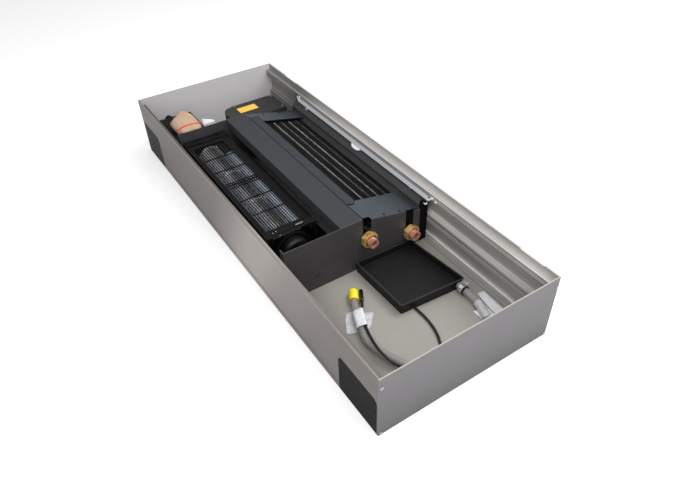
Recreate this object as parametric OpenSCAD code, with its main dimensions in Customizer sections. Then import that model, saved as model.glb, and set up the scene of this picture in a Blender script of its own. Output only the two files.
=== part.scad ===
// Trench convector heater with a cross-flow fan, a sloping heat exchanger and an open service bay.
// Millimetres. +X runs towards the service bay, +Y towards the window side, +Z is up.
// Origin: centre of the footprint, on the ground. Inside the file a place is given as
// a = distance from the far end panel, b = distance from the front face, z = height.

/* [Trench] */
// Length over the end panels
trench_l = 1000; // [996:1:1400]
// Width over the long walls
trench_w = 360; // [360:1:460]
// Height of the trench
trench_h = 138; // [132:1:180]
// Thickness of the end panels
panel_t = 2; // [1.2:0.1:3]
// Thickness of the outer skin of the long walls
wall_t = 2; // [1.6:0.1:2.6]
// Thickness of the floor pan
floor_t = 1.5; // [0.8:0.1:2]
// Height of the lip that stands above the grille seat
lip_h = 14; // [10:0.5:20]
// Thickness of that lip
lip_t = 3; // [2.6:0.1:4]
// Depth of the grille seat, from the front face
seat_d = 14; // [12:0.5:16]
// Height of the grille seat
seat_h = 13.4; // [12:0.1:16]

/* [Bulkheads and covers] */
// Length of the connection bay inside the trench
bay_l = 320; // [312:1:420]
// Length of the electrical bay inside the trench
electric_bay_l = 181; // [172:1:240]
// Thickness of the black sheet metal
sheet_t = 1.5; // [1:0.1:2]
// Height of the bulkheads and of the centre cover
cover_z = 121; // [119:0.5:123]
// Thickness of the cover plates
cover_t = 1.2; // [0.8:0.1:1.5]
// Slope of the heat exchanger, in degrees
tilt = 12.8; // [12:0.1:13.6]
// Drop of the stepped face of the centre cover
fascia_h = 26; // [20:1:30]

/* [Heat exchanger] */
// Distance between one fin and the next
fin_pitch = 4; // [3:0.1:6]
// Thickness of a fin
fin_t = 0.4; // [0.3:0.05:0.6]
// Width of the fins
fin_w = 132; // [128:1:133]
// Height of the fins
fin_h = 51; // [46:1:54]
// Outer diameter of the copper tubes
tube_d = 15; // [12:0.5:16]
// Wall of the copper tubes
tube_wall = 1; // [0.7:0.1:1.5]
// Outer diameter of the connection stubs at their free end
stub_d = 20.8; // [20:0.1:22]
// Distance across the flats of the union nuts
nut_af = 30; // [28:0.5:32]
// Length of the union nuts
nut_l = 12; // [9:0.5:13]

/* [Fan] */
// Diameter of the impeller
fan_d = 60; // [54:0.5:62]
// Number of blades
blade_count = 32; // [20:1:36]
// Thickness of a blade
blade_t = 0.8; // [0.5:0.1:1]
// Number of impeller sections
section_n = 3; // [2:1:4]
// Wall thickness of the fan scroll
scroll_t = 1.5; // [1:0.1:2]
// Smallest gap between the impeller and the scroll
scroll_gap = 5; // [4:0.25:6]
// Diameter of the motor
motor_d = 56; // [50:1:58]
// Diameter of the motor shaft
motor_shaft_d = 8; // [6:0.5:10]
// Diameter of the far shaft stub
shaft_d = 6; // [5:0.5:8]

/* [Guard] */
// Number of long bars in the fan guard
bar_count = 13; // [9:1:16]
// Width of a long bar
bar_w = 1.4; // [1:0.1:1.8]
// Height of the guard
guard_h = 3; // [2.4:0.1:3.2]

/* [Controls] */
// Length of the control box
control_l = 78; // [70:1:79]
// Height of the control box with its lid
control_h = 102.5; // [90:0.5:110]
// Height of the terminal box with its lid
terminal_h = 82.5; // [70:0.5:84]
// Wall of both boxes
case_t = 2; // [1.5:0.1:3]

/* [Condensate] */
// Height of the drip tray rim above its feet
tray_h = 22.5; // [18:0.5:23]
// Wall of the drip tray
tray_t = 2; // [1.5:0.1:2.5]
// Height of the feet under the drip tray
tray_foot_h = 5.8; // [5.6:0.1:7]
// Outer diameter of the condensate hose
hose_d = 15; // [14:0.5:15.5]
// Wall of the condensate hose
hose_wall = 2; // [1.5:0.1:2.5]
// Diameter of the sensor cable
cable_d = 5; // [4:0.25:5.2]

/* [Hidden] */
$fn = 64;
EPS = 0.01;
// running clearance, on the radius, of everything that turns
RUN = 0.05;
// gap between sheet pieces that lie side by side
GAP = 0.3;

// long walls
ledge_z = trench_h - lip_h;
skin_t = 1.6;
foot_lip_t = 1;
floor_z = foot_lip_t + floor_t;
foot_h = floor_z + 1.5;
foot_d = seat_d;
slot_d = 7.6;
screw_d = 3;
screw_inset = 4.6;
screw_head_d = 6;
boss_r = 2.7;
upper_screw_z = ledge_z - seat_h / 2;
lower_screw_z = screw_inset;
rib_z = 47;
rib_h = 20;
rib_d = 8;
bead_h = 1.5;
bead_d = 4.2;
bead_zs = [6.5, 13];
groove_z = 13;
groove_w = 1.2;
groove_d = 0.6;
line_pitch = 2.5;
line_d = 0.4;
notch_l = 55;
notch_h = 2;
notch_far_a = 87;
notch_near_inset = 33;

// inner faces of the two grille seats and of the bulkheads
window_b = trench_w - seat_d;
far_bulkhead_a = panel_t + electric_bay_l;
near_bulkhead_a = trench_l - panel_t - bay_l;

// pipe entry covers in the front wall
entry_l = 104;
entry_h = 84;
entry_r = 12;
entry_t = 1;
entry_inset = 1.5;
entry_frame = 12;
entry_plug_d = 5;

// bulkheads
bulkhead_b0 = 26;
bulkhead_b1 = window_b - 13.5;
flange_l = 12;
bulkhead_foot_stop = 40;
// height that a cover plate and its gap take up on the slope
slope_under = (cover_t + 0.1) / cos(tilt);
cover_screw_d = 2.5;
cover_step = 12.7;
slope_b = window_b - 131.5;
slope_z = cover_z - 7.3;
centre_cover_b1 = window_b - 152.2;
fan_gap_w = 19.5;
strip_gap = 2.7;
cover_b0 = centre_cover_b1 + strip_gap - 0.2;
cover_b1 = window_b - 17;
slot_w = 20;
knockout_b = 95;
knockout_z = 38;
knockout_r = 10;

// heat exchanger
flow_b = window_b - 141.5;
flow_z = slope_z - 40.3;
return_b = window_b - 39.2;
return_z = slope_z - 70.2;
tube_r = tube_d / 2;
tube_n = 4;
row_span = norm([return_b - flow_b, return_z - flow_z]);
row_tilt = atan2(flow_z - return_z, return_b - flow_b);
tube_pitch = row_span / (tube_n - 1);
fin_reach = 16;
fin_top = 9;
fin_a0 = far_bulkhead_a + 34;
fin_a1 = near_bulkhead_a - 62;
fin_ridge = 3;
ridge_pitch = 20.4;
first_ridge = 13.8;
ridge_half = 7;
end_plate_t = 1;
socket_l = 15;
cup_wall = 0.8;
cup_l = 4;
tube_far_a = fin_a0 - end_plate_t - cup_l - GAP;
tube_near_a = fin_a1 + end_plate_t + cup_l + GAP;
stub_a0 = tube_near_a + 16;
stub_neck = 0.4;
free_end_l = 10;
stub_bore_d = tube_d - 2 * tube_wall;
stub_body_d = 18;
collar_d = 24;
nut_a0 = near_bulkhead_a + 1.5;
nut_lip = 3;
collar_a0 = nut_a0 + nut_lip + GAP;
collar_l = 3;
free_end_a = nut_a0 + nut_l + 0.5;
stub_a1 = free_end_a + free_end_l;
strip_start = slope_u(centre_cover_b1 + strip_gap);
strip_reach = 7.6;
casing_reach = 121;
casing_h = 62;
casing_stop = 14;
casing_lean = 7.6;
opening_a0 = far_bulkhead_a + 40;
opening_a1 = near_bulkhead_a - 69;

// baffle and rail
baffle_b = window_b - 12.5;
baffle_top_z = ledge_z - 2.4;
rail_z0 = baffle_top_z - 18.2;
baffle_shoulder_z = rail_z0 - 0.4;
baffle_knee_z = baffle_shoulder_z - 10.6;
baffle_foot_l = 4;
baffle_t = 1.2;
baffle_a0 = far_bulkhead_a - 21;
baffle_a1 = near_bulkhead_a - 6;
rail_a0 = far_bulkhead_a - 5;
rail_a1 = near_bulkhead_a + 8;
rail_t = 1.4;
rail_stand = 2.6;
rail_hem = 1.2;
rail_tab_a = far_bulkhead_a + 236;
rail_tab_l = 34;
rail_tab_w = 5;
rail_screw_as = [far_bulkhead_a + 43, near_bulkhead_a - 46];
rail_screw_d = 5;
rail_screw_h = 2;
rail_screw_drop = 3.4;

// fan
fan_b = 78;
fan_z = 65;
fan_r = fan_d / 2;
disc_t = 2;
fan_end_a = far_bulkhead_a + 35;
fan_near_a = near_bulkhead_a - 80;
disc_inset = 12;
disc_a0 = fan_end_a + disc_inset;
section_l = (fan_near_a + 1 - disc_inset - disc_a0) / section_n;
fan_end_t = 4;
rail_top_z = 103;
guard_z = rail_top_z - 3.3;
rail_sheet = 1.2;
front_rail_b = 29;
guard_b0 = 36.8;
guard_b1 = 113.2;
rear_rail_b1 = 127;
centre_cover_b0 = rear_rail_b1 + fan_gap_w;
tongue_z = rail_top_z - 5.4;
tongue_a0 = fan_end_a + 62;
tongue_t = 1.2;
outlet_z = 24;
outlet_l = 100;
outlet_b = fan_b + outlet_l;
fan_end_b1 = 132;
far_shelf_l = 16;
near_shelf_l = 9;
fan_boss_inset = 10;
fan_boss_drop = 9;
bearing_d = 12;
bearing_l = 10;
bearing_ring_d = 24;
motor_a0 = fan_near_a + fan_end_t + 2;
motor_l = 28;
motor_ring_d = 72;
motor_ring_t = 4;
motor_ring_l = 14;

// control side
control_a1 = far_bulkhead_a - 3;
control_a0 = control_a1 - control_l;
control_r = 12;
control_lid_h = 7;
control_lid_step = 26;
terminal_a0 = 27;
terminal_a1 = 150;
terminal_b0 = 31;
terminal_b1 = 112;
terminal_lid_h = 6;
control_b0 = terminal_b1 + 60;
control_b1 = window_b - 38;
case_screw_d = 6;
case_screw_inset = 8;
sticker_t = 0.2;
sticker_l = 25;
sticker_w = 48;
sticker_inset = 19;
sticker_edge = 27.8;

// drip tray, its corners seen from above
tray_corners = [[3, 169.5], [145, 167], [154, 27], [6, 40]];
tray_inwards = [[1, 1], [-1, 1], [-1, -1], [1, -1]];
tray_r = 4;
tray_floor_z = floor_z + tray_foot_h;
tray_skirt_lift = 1;
cable_passage = 10;
spigot_b = window_b - 40;
spigot_z = floor_z + 12.4;
spigot_d = 10.2;
spigot_bore_d = 7;
spigot_a0 = near_bulkhead_a + 151;
spigot_l = 20;
clamp_a = near_bulkhead_a + 161;
clamp_w = 9;

// loose hose: its middle line from the drip tray to the capped end
hose_z = 10.9;
hose_route = [
    [155, 40, 14.9], [163, 40, 14.9], [172, 40, 14.9], [184, 39, 13.2], [198, 39, 11.4],
    [212, 40.5, hose_z], [226, 44, hose_z], [240, 49, hose_z], [257, 60, hose_z], [272, 74, hose_z],
    [284, 92, hose_z], [291, 113, hose_z], [294, 135, hose_z], [294, 155, hose_z], [292, 173, hose_z],
    [287, 190, hose_z], [279, 205, hose_z], [268, 217.5, hose_z], [255, 227.5, hose_z], [241, 235, hose_z],
    [228, 241, hose_z], [216, 246, hose_z], [202, 251.5, hose_z], [188, 255.5, hose_z], [174, 257.5, hose_z],
    [160, 256.5, hose_z], [146, 253, hose_z], [132, 248, hose_z], [118, 242.5, hose_z], [104, 236.5, hose_z],
    [91, 231, 11.3], [79, 225.8, 12], [67, 218.6, 12], [55, 211.4, 12]
];
cap_d = 18.4;
cap_wall = 1.5;
cap_l = 27;
cap_turn = 149;

// loose cable: its middle line from the bulkhead to the sensor head
cable_route = [
    [0, 138.5, 5.3], [12, 138.5, 5.3], [42, 138.5, 5.3], [82, 138.5, 5.3], [122, 138.5, 5.3],
    [150, 138, 5.3], [169, 137.2, 5.3], [188, 138.2, 5.3], [207, 141.5, 5.3], [223, 146.5, 5.3],
    [239, 154, 5.3], [254, 160.5, 5.6], [265, 164.5, 6.8], [273.5, 170.5, 9.8], [278.5, 179, 15],
    [280.5, 190, 20], [278, 204.5, 22], [271.5, 221, 21], [261, 235, 17.6], [251, 242.5, 15],
    [240, 247.5, 14], [228.5, 251.8, 15], [216, 254.8, 18], [203, 257, 20.6], [190, 256.6, 21.6],
    [179, 254.8, 21.6], [169, 252.6, 21], [157, 249.5, 20], [145, 245.4, 18.8], [132, 240.2, 18.6],
    [118, 234.6, 18.6], [104.9, 228.9, 18.6], [98.5, 221.3, 16], [91, 216.5, 14.6]
];
head_from = [91, 216.5, 14.6];
head_to = [55, 195, 7.3];
head_d = 8.4;

grommet_t = 1.3;
cable_b = window_b - cable_route[0][1];

// label wrapped round hose and cable
wrap_place = [101.7, 235.2, 0];
wrap_l = 41;
wrap_angle = -22.5;
wrap_t = 0.5;
wrap_lift = 0.25;
wrap_clear = 0.7;
cable_offset = [7.1, 18.7];
wrap_flags = [
    [[-11, -2.5], [-10.6, -18.6], [11, -23.7], [40, -26.6], [42, -10.7], [41, -2.5]],
    [[-5, 2.5], [-4.4, 16.6], [-1.2, 31.3], [29.6, 19.9], [35.2, 13.4], [36, 2.5]]
];

// two labels on the floor under the hose
label_corners = [
    [[183, 17.5], [185, 2.5], [242, 5], [243, 25], [220, 24]],
    [[213, 55], [216, 26.4], [244, 27.4], [241, 55]]
];

// small things that came with the heater and lie in it
paper_h = 84;
paper_a = 82;
paper_foot = [[2, 34.7], [22, 39.7], [32, 37.7], [32, 28.7]];
paper_rim = [[0, 7.5], [19, 30], [30, 30.5], [30, 0]];
packet_h = 20;
packet_a = 95;
packet_b = 71;
packet_corners = [
    [-54, 13], [-43, 23.5], [-26, 29.5], [4, 30], [39, 28], [52, 17], [52, -15], [36, -29], [-10, -31]
];
packet_waist = 0.5;
packet_low = 0.72;
packet_high = 0.6;
band_x = 33;
band_t = 1.2;
band_w = 4;
band_gap = 0.2;

/* ---- places and directions ---- */

function ax(a) = a - trench_l / 2;
function by(b) = b - trench_w / 2;
// place in the connection bay: distances from the near bulkhead and from the window-side seat
function in_bay(p) = [ax(near_bulkhead_a + p[0]), by(window_b - p[1]), p[2]];
function flat(p) = [p[0], p[1]];
function slope_plane(b) = slope_z - tan(tilt) * (b - slope_b);
function unit(v) = v / norm(v);
function left_of(v) = [-v[1], v[0]];
function last(v) = v[len(v) - 1];

// side offset of a path, mitred at its bends
function path_dir(p, i) = unit(p[i + 1] - p[i]);
function mitre(d0, d1) = (left_of(d0) + left_of(d1)) / (1 + d0 * d1);
function offset_path(p, t) = [
    for (i = [0 : len(p) - 1])
        let (d0 = path_dir(p, max(i - 1, 0)), d1 = path_dir(p, min(i, len(p) - 2)))
        p[i] + t * mitre(d0, d1)
];
function reversed(p) = [for (i = [len(p) - 1 : -1 : 0]) p[i]];
function ribbon(p, t) = concat(p, reversed(offset_path(p, t)));

// extrude an outline drawn in (b, z) along the trench
module along(a, l) {
    translate([ax(a), -trench_w / 2, 0])
        rotate([90, 0, 90])
            linear_extrude(l) children();
}
// round bar along X whose axis lies at (b, z)
module bar_x(a, b, z, r, l) {
    translate([ax(a), by(b), z])
        rotate([0, 90, 0])
            cylinder(r = r, h = l);
}
// frame of the sloping exchanger: Y down the slope, Z square to the covers
module sloping() {
    translate([0, by(slope_b), slope_z])
        rotate([-tilt, 0, 0]) children();
}
// extrude an outline drawn in the sloping frame
module along_slope(a, l) {
    sloping()
        translate([ax(a), 0, 0])
            rotate([90, 0, 90])
                linear_extrude(l) children();
}
// extrude an outline drawn round the fan axis
module along_fan(a, l) {
    translate([ax(a), by(fan_b), fan_z])
        rotate([90, 0, 90])
            linear_extrude(l) children();
}
// frame of the row of tubes
module tube_row() {
    translate([0, by(flow_b), flow_z])
        rotate([-row_tilt, 0, 0]) children();
}
// a cheese-head screw that stands on a plane, head up
module small_screw(head_d, head_h, shank_d, shank_l) {
    difference() {
        union() {
            cylinder(d = head_d, h = head_h, $fn = 32);
            translate([0, 0, -shank_l])
                cylinder(d = shank_d, h = shank_l + EPS, $fn = 32);
        }
        translate([0, 0, head_h - head_h / 3])
            cylinder(d = head_d / 2, h = head_h, $fn = 6);
    }
}

/* ---- trench ---- */

module wall_lines(z0, h, d) {
    for (z = [z0 + line_pitch : line_pitch : z0 + h - line_pitch / 2])
        translate([d - line_d, z - line_d])
            square([2 * line_d, 2 * line_d]);
}
// cross section of a long wall: x is the distance from the outer face
module wall_section() {
    difference() {
        union() {
            difference() {
                union() {
                    square([wall_t, trench_h]);
                    translate([0, ledge_z])
                        square([lip_t, lip_h]);
                    translate([0, ledge_z - seat_h])
                        square([seat_d, seat_h]);
                    translate([0, rib_z])
                        square([rib_d, rib_h]);
                    for (z = bead_zs)
                        translate([0, z])
                            square([bead_d, bead_h]);
                    square([foot_d, foot_h]);
                }
                translate([wall_t, ledge_z - seat_h + skin_t])
                    square([seat_d - wall_t - skin_t, seat_h - 2 * skin_t]);
                translate([wall_t, rib_z + skin_t])
                    square([rib_d - wall_t - skin_t, rib_h - 2 * skin_t]);
                wall_lines(ledge_z - seat_h, seat_h, seat_d);
                wall_lines(rib_z, rib_h, rib_d);
            }
            for (z = [upper_screw_z, lower_screw_z])
                translate([screw_inset, z])
                    circle(r = boss_r);
        }
        for (z = [upper_screw_z, lower_screw_z])
            translate([screw_inset, z])
                circle(d = screw_d);
        translate([slot_d, foot_lip_t])
            square([foot_d, floor_t + 0.1]);
        translate([-groove_d, groove_z - groove_w / 2])
            square([2 * groove_d, groove_w]);
    }
}
module long_wall() {
    along(panel_t, trench_l - 2 * panel_t) wall_section();
}
module entry_outline(inset = 0) {
    w = entry_l - 2 * inset;
    h = entry_h - 2 * inset;
    translate([inset, inset])
        difference() {
            square([w, h]);
            for (side = [0, 1])
                translate([side * w, h])
                    mirror([side, 0])
                        translate([-EPS, -entry_r])
                            difference() {
                                square([entry_r + EPS, entry_r + EPS]);
                                translate([entry_r + EPS, 0])
                                    circle(r = entry_r);
                            }
        }
}
// place for a pipe entry: outline stands in the front face
module entry_place(a, d0, d1) {
    translate([ax(a), by(d1), 0])
        rotate([90, 0, 0])
            linear_extrude(d1 - d0) children();
}
module entry_window(a) {
    entry_place(a, -EPS, entry_t) entry_outline();
    entry_place(a, -EPS, seat_d + 1) entry_outline(entry_frame);
}
near_entry_a = trench_l - panel_t - entry_inset - entry_l;
far_entry_a = panel_t + entry_inset;
module front_wall() {
    color("#8f8c89")
        difference() {
            long_wall();
            entry_window(near_entry_a);
            entry_window(far_entry_a);
        }
}
module rear_wall() {
    color("#9a9793")
        difference() {
            mirror([0, 1, 0]) long_wall();
            for (a = [notch_far_a, trench_l - notch_near_inset - notch_l])
                translate([ax(a), trench_w / 2 - lip_t - EPS, trench_h - notch_h])
                    cube([notch_l, lip_t + 2 * EPS, notch_h + EPS]);
        }
}
module entry_cover(a) {
    color("#3c3d40") {
        entry_place(a, 0, entry_t) entry_outline(GAP);
        entry_place(a, entry_t - EPS, entry_plug_d) entry_outline(entry_frame + GAP);
    }
}
module screw_places() {
    for (b = [screw_inset, trench_w - screw_inset])
        for (z = [upper_screw_z, lower_screw_z])
            translate([0, by(b), z]) children();
}
module end_panel(a) {
    color("#a5a3a1")
        difference() {
            translate([ax(a), by(0), 0])
                cube([panel_t, trench_w, trench_h]);
            screw_places()
                translate([ax(a) - 1, 0, 0])
                    rotate([0, 90, 0])
                        cylinder(d = screw_d + 2 * GAP, h = panel_t + 2, $fn = 32);
        }
}
module near_end_panel() {
    end_panel(trench_l - panel_t);
}
module far_end_panel() {
    end_panel(0);
}
module floor_pan() {
    edge_b = slot_d + GAP;
    color("#a39f96")
        translate([ax(panel_t), by(edge_b), foot_lip_t])
            cube([trench_l - 2 * panel_t, trench_w - 2 * edge_b, floor_t]);
}
module end_panel_screws() {
    color("#d5d6d8")
        for (side = [1, -1])
            screw_places()
                translate([side * trench_l / 2, 0, 0])
                    rotate([0, side * 90, 0])
                        small_screw(screw_head_d, 1.6, screw_d - 2 * RUN, 11);
}

/* ---- bulkheads and covers ---- */

module bulkhead_outline() {
    polygon([
        [bulkhead_b0, floor_z],
        [bulkhead_b1, floor_z],
        [bulkhead_b1, slope_plane(bulkhead_b1) - slope_under],
        [centre_cover_b1 + GAP, slope_plane(centre_cover_b1 + GAP) - slope_under],
        [centre_cover_b1 + GAP, cover_z],
        [bulkhead_b0, cover_z]
    ]);
}
// sheet with a foot and a side flange; side = -1 turns them towards the far end
module bulkhead_sheet(a, side) {
    turn = side < 0 ? -flange_l : sheet_t;
    along(a, sheet_t) bulkhead_outline();
    translate([ax(a + turn), by(bulkhead_b0), floor_z])
        cube([flange_l, bulkhead_b1 - bulkhead_b0 - bulkhead_foot_stop, sheet_t]);
    translate([ax(a + turn), by(bulkhead_b0), floor_z])
        cube([flange_l, sheet_t, cover_z - floor_z]);
}
module pipe_slot(b, z) {
    translate([b, z])
        circle(d = slot_w);
    translate([b - slot_w / 2, z])
        square([slot_w, trench_h]);
}
// round-topped opening over the cable, drawn in (b, z)
module cable_arch(d, drop) {
    translate([cable_b, cable_route[0][2]]) {
        circle(d = d, $fn = 32);
        translate([-d / 2, -drop])
            square([d, drop]);
    }
}
module near_bulkhead() {
    a = near_bulkhead_a - sheet_t;
    color("#3f3c3e")
        difference() {
            bulkhead_sheet(a, -1);
            along(a - flange_l - 1, flange_l + sheet_t + 2) {
                pipe_slot(flow_b, flow_z);
                pipe_slot(return_b, return_z);
            }
            along(a - 1, sheet_t + 2)
                cable_arch(cable_d + 2 * grommet_t + 2 * GAP, 2 * cable_d);
            along(a - flange_l - 1, flange_l + 1)
                translate([cable_b - cable_d, floor_z - 1])
                    square([2 * cable_d, cable_d + 1]);
            along(a - 1, sheet_t + 2)
                translate([knockout_b, knockout_z])
                    intersection() {
                        difference() {
                            circle(r = knockout_r + 0.8);
                            circle(r = knockout_r - 0.8);
                        }
                        polygon([[0, 0], [20, 6], [20, -20], [-8, -20]]);
                    }
        }
}
module far_bulkhead() {
    color("#3f3c3e")
        bulkhead_sheet(far_bulkhead_a, 1);
}
// channel with a stepped face towards the fan
module centre_cover() {
    b0 = centre_cover_b0;
    z0 = cover_z;
    step_z = z0 - fascia_h / 2;
    step_d = 2.4;
    color("#565759")
        along(far_bulkhead_a + sheet_t + GAP,
              near_bulkhead_a - far_bulkhead_a - 2 * sheet_t - 2 * GAP)
            polygon(ribbon([
                [b0 + step_d + 4, z0 - fascia_h],
                [b0 + step_d, z0 - fascia_h],
                [b0 + step_d, step_z],
                [b0, step_z],
                [b0, z0],
                [centre_cover_b1, z0],
                [centre_cover_b1, z0 - 7]
            ], -cover_t));
}
// long cover strip on the fan side of the fins, with its leg
module strip_cover() {
    near_a = opening_a1 + cover_step / 2;
    color("#50565d")
        along_slope(far_bulkhead_a + sheet_t + GAP, near_a - far_bulkhead_a - sheet_t - GAP)
            polygon(ribbon([
                [strip_start, -casing_h],
                [strip_start, -cover_t - GAP / 2],
                [strip_reach, -cover_t - GAP / 2],
                [strip_reach, -cover_t - 5]
            ], -cover_t));
}
// side of the casing, its upper hem leaning in over the edge of the fins
module exchanger_side() {
    a = far_bulkhead_a + sheet_t + GAP;
    color("#333437")
        along_slope(a, near_bulkhead_a - sheet_t - GAP - a)
            polygon(ribbon([
                [casing_reach - casing_lean, -fin_top + cover_t / 3],
                [casing_reach, -cover_t - GAP / 2],
                [casing_reach, -casing_h + casing_stop]
            ], -cover_t));
}
function slope_u(b) = (b - slope_b) / cos(tilt);
near_screw_places = [for (d = [99, 62]) [near_bulkhead_a - 6, window_b - d]];
far_screw_places = [for (d = [106, 64, 34]) [far_bulkhead_a + 5, window_b - d]];
// flat plate on the slope, its corners and screw holes given as [a, b]
module slope_plate(corners, holes) {
    sloping()
        translate([0, 0, -cover_t])
            linear_extrude(cover_t)
                difference() {
                    polygon([for (p = corners) [ax(p[0]), slope_u(p[1])]]);
                    for (p = holes)
                        translate([ax(p[0]), slope_u(p[1])])
                            circle(d = cover_screw_d + GAP, $fn = 32);
                }
}
module near_exchanger_cover() {
    a0 = opening_a1 + cover_step;
    a1 = near_bulkhead_a;
    slot1 = flow_b + slot_w / 2;
    slot2 = return_b - slot_w / 2;
    color("#5a626b")
        slope_plate([
            [opening_a1 + 1, slot1 + 9.5], [a0, slot1 - 2.5], [a0, cover_b0],
            [a1 - 9, cover_b0], [a1 - 9, slot1], [a1, slot1], [a1, slot2],
            [a1 - 5, slot2], [a1 - 5, cover_b1], [opening_a1 - 2, cover_b1]
        ], near_screw_places);
}
module far_exchanger_cover() {
    a0 = far_bulkhead_a - 2;
    step_a = opening_a0 - 2 * cover_step;
    step_b = slope_b + strip_reach;
    color("#5a626b")
        slope_plate([
            [a0, cover_b0], [step_a + cover_step / 3, cover_b0], [step_a - cover_step / 3, step_b],
            [opening_a0, step_b], [opening_a0, cover_b1], [a0, cover_b1]
        ], far_screw_places);
}
module cover_screws() {
    color("#2c2d30")
        sloping()
            for (p = concat(near_screw_places, far_screw_places))
                translate([ax(p[0]), slope_u(p[1]), 0])
                    small_screw(cover_screw_d * 2, 1.5, cover_screw_d, cover_t);
}
// leaning sheet between the exchanger and the grille seat
module baffle() {
    b1 = trench_w - seat_d - GAP;
    color("#36373a")
        along(baffle_a0, baffle_a1 - baffle_a0)
            polygon(ribbon([
                [b1 - baffle_foot_l, floor_z],
                [baffle_b, floor_z],
                [baffle_b, baffle_knee_z],
                [b1 - baffle_t, baffle_shoulder_z],
                [b1 - baffle_t, baffle_top_z]
            ], -baffle_t));
}
// the rail's back lies against the baffle
rail_b1 = window_b - GAP - baffle_t - GAP / 2;
module baffle_rail() {
    l = rail_tab_l;
    w = rail_tab_w;
    lean = atan2(baffle_shoulder_z - baffle_knee_z, rail_b1 - baffle_b);
    color("#c3cbd4") {
        along(rail_a0, rail_a1 - rail_a0)
            polygon(ribbon([
                [rail_b1 - rail_stand + rail_t, rail_z0],
                [rail_b1 - rail_stand + rail_t, baffle_top_z - rail_hem],
                [rail_b1, baffle_top_z]
            ], rail_t));
        translate([ax(rail_tab_a), by(rail_b1 - rail_stand), rail_z0])
            rotate([lean, 0, 0])
                translate([0, -w, rail_t / 2])
                    linear_extrude(rail_t)
                        polygon([
                            [0, w + rail_t], [l * 0.12, w * 0.42], [l * 0.3, w * 0.08], [l * 0.5, 0],
                            [l * 0.72, w * 0.14], [l * 0.9, w * 0.5], [l, w + rail_t]
                        ]);
    }
}
module rail_screws() {
    color("#e6e7e8")
        for (a = rail_screw_as)
            translate([ax(a), by(rail_b1 - rail_stand), rail_z0 + rail_screw_drop])
                rotate([90, 0, 0])
                    cylinder(d = rail_screw_d, h = rail_screw_h, $fn = 32);
}

/* ---- heat exchanger ---- */

function tube_u(i) =
    let (b = flow_b + (return_b - flow_b) * i / (tube_n - 1))
    let (z = flow_z + (return_z - flow_z) * i / (tube_n - 1))
    [(b - slope_b) * cos(tilt) - (z - slope_z) * sin(tilt),
     (b - slope_b) * sin(tilt) + (z - slope_z) * cos(tilt)];
ridge_n = floor((fin_w - first_ridge - ridge_half) / ridge_pitch);
module fin_shape() {
    difference() {
        polygon(concat(
            [[-fin_reach, -fin_top - fin_h], [-fin_reach + fin_w, -fin_top - fin_h],
             [-fin_reach + fin_w, -fin_top - fin_ridge]],
            [for (i = [ridge_n : -1 : 0], s = [1, 0, -1])
                [-fin_reach + first_ridge + i * ridge_pitch + s * ridge_half,
                 -fin_top - fin_ridge * abs(s)]],
            [[-fin_reach, -fin_top - fin_ridge]]
        ));
        for (i = [0 : tube_n - 1])
            translate(tube_u(i))
                circle(r = tube_r + RUN);
    }
}
module fin_pack() {
    count = floor((fin_a1 - fin_a0 - 2 * end_plate_t) / fin_pitch);
    color("#1d1e20")
        for (i = [0 : count - 1])
            along_slope(fin_a0 + end_plate_t + (i + 0.5) * fin_pitch, fin_t) fin_shape();
}
module exchanger_end_plates() {
    color("#6a6d70")
        for (a = [fin_a0 - end_plate_t, fin_a1])
            along_slope(a, end_plate_t)
                difference() {
                    polygon([
                        [strip_start + cover_t + GAP, -casing_h],
                        [casing_reach - cover_t - GAP, -casing_h],
                        [casing_reach - cover_t - GAP, -fin_top - 1],
                        [strip_start + cover_t + GAP, -fin_top - 1]
                    ]);
                    for (i = [0 : tube_n - 1])
                        translate(tube_u(i))
                            circle(r = tube_r + RUN);
                }
}
module ring_shape(r1, r0) {
    difference() {
        circle(r = r1);
        circle(r = r0);
    }
}
module exchanger_tubes() {
    color("#b46a3c")
        tube_row()
            for (i = [0 : tube_n - 1]) {
                outlet = i == 0 || i == tube_n - 1 ? stub_a0 + socket_l - 1 : tube_near_a;
                translate([ax(tube_far_a), i * tube_pitch, 0])
                    rotate([0, 90, 0])
                        linear_extrude(outlet - tube_far_a)
                            ring_shape(tube_r, tube_r - tube_wall);
            }
}
// half ring over the ends of tube i and the next one; side = 1 is the near end
module return_bend(i, a, side) {
    r1 = tube_r + cup_wall;
    translate([ax(a), (i + 0.5) * tube_pitch, 0])
        rotate([0, 0, -side * 90])
            union() {
                rotate_extrude(angle = 180)
                    translate([tube_pitch / 2, 0])
                        ring_shape(r1, tube_r - tube_wall);
                for (x = [-tube_pitch / 2, tube_pitch / 2])
                    translate([x, 0, 0])
                        rotate([90, 0, 0])
                            linear_extrude(cup_l)
                                ring_shape(r1, tube_r + RUN);
            }
}
module return_bends() {
    color("#b87446")
        tube_row() {
            return_bend(0, tube_far_a, -1);
            return_bend(2, tube_far_a, -1);
            return_bend(1, tube_near_a, 1);
        }
}
module stub(b, z) {
    color("#b4653f")
        difference() {
            union() {
                bar_x(stub_a0, b, z, stub_body_d / 2, collar_a0 - stub_a0 + EPS);
                bar_x(collar_a0, b, z, collar_d / 2, collar_l);
                bar_x(collar_a0 + collar_l - EPS, b, z, stub_d / 2 - stub_neck, nut_l);
                bar_x(free_end_a, b, z, stub_d / 2, free_end_l);
            }
            bar_x(stub_a0 - 1, b, z, stub_bore_d / 2, stub_a1 - stub_a0 + 2);
            bar_x(stub_a0 - 1, b, z, tube_r + RUN, socket_l + 1);
        }
}
module flow_stub() {
    stub(flow_b, flow_z);
}
module return_stub() {
    stub(return_b, return_z);
}
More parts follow.
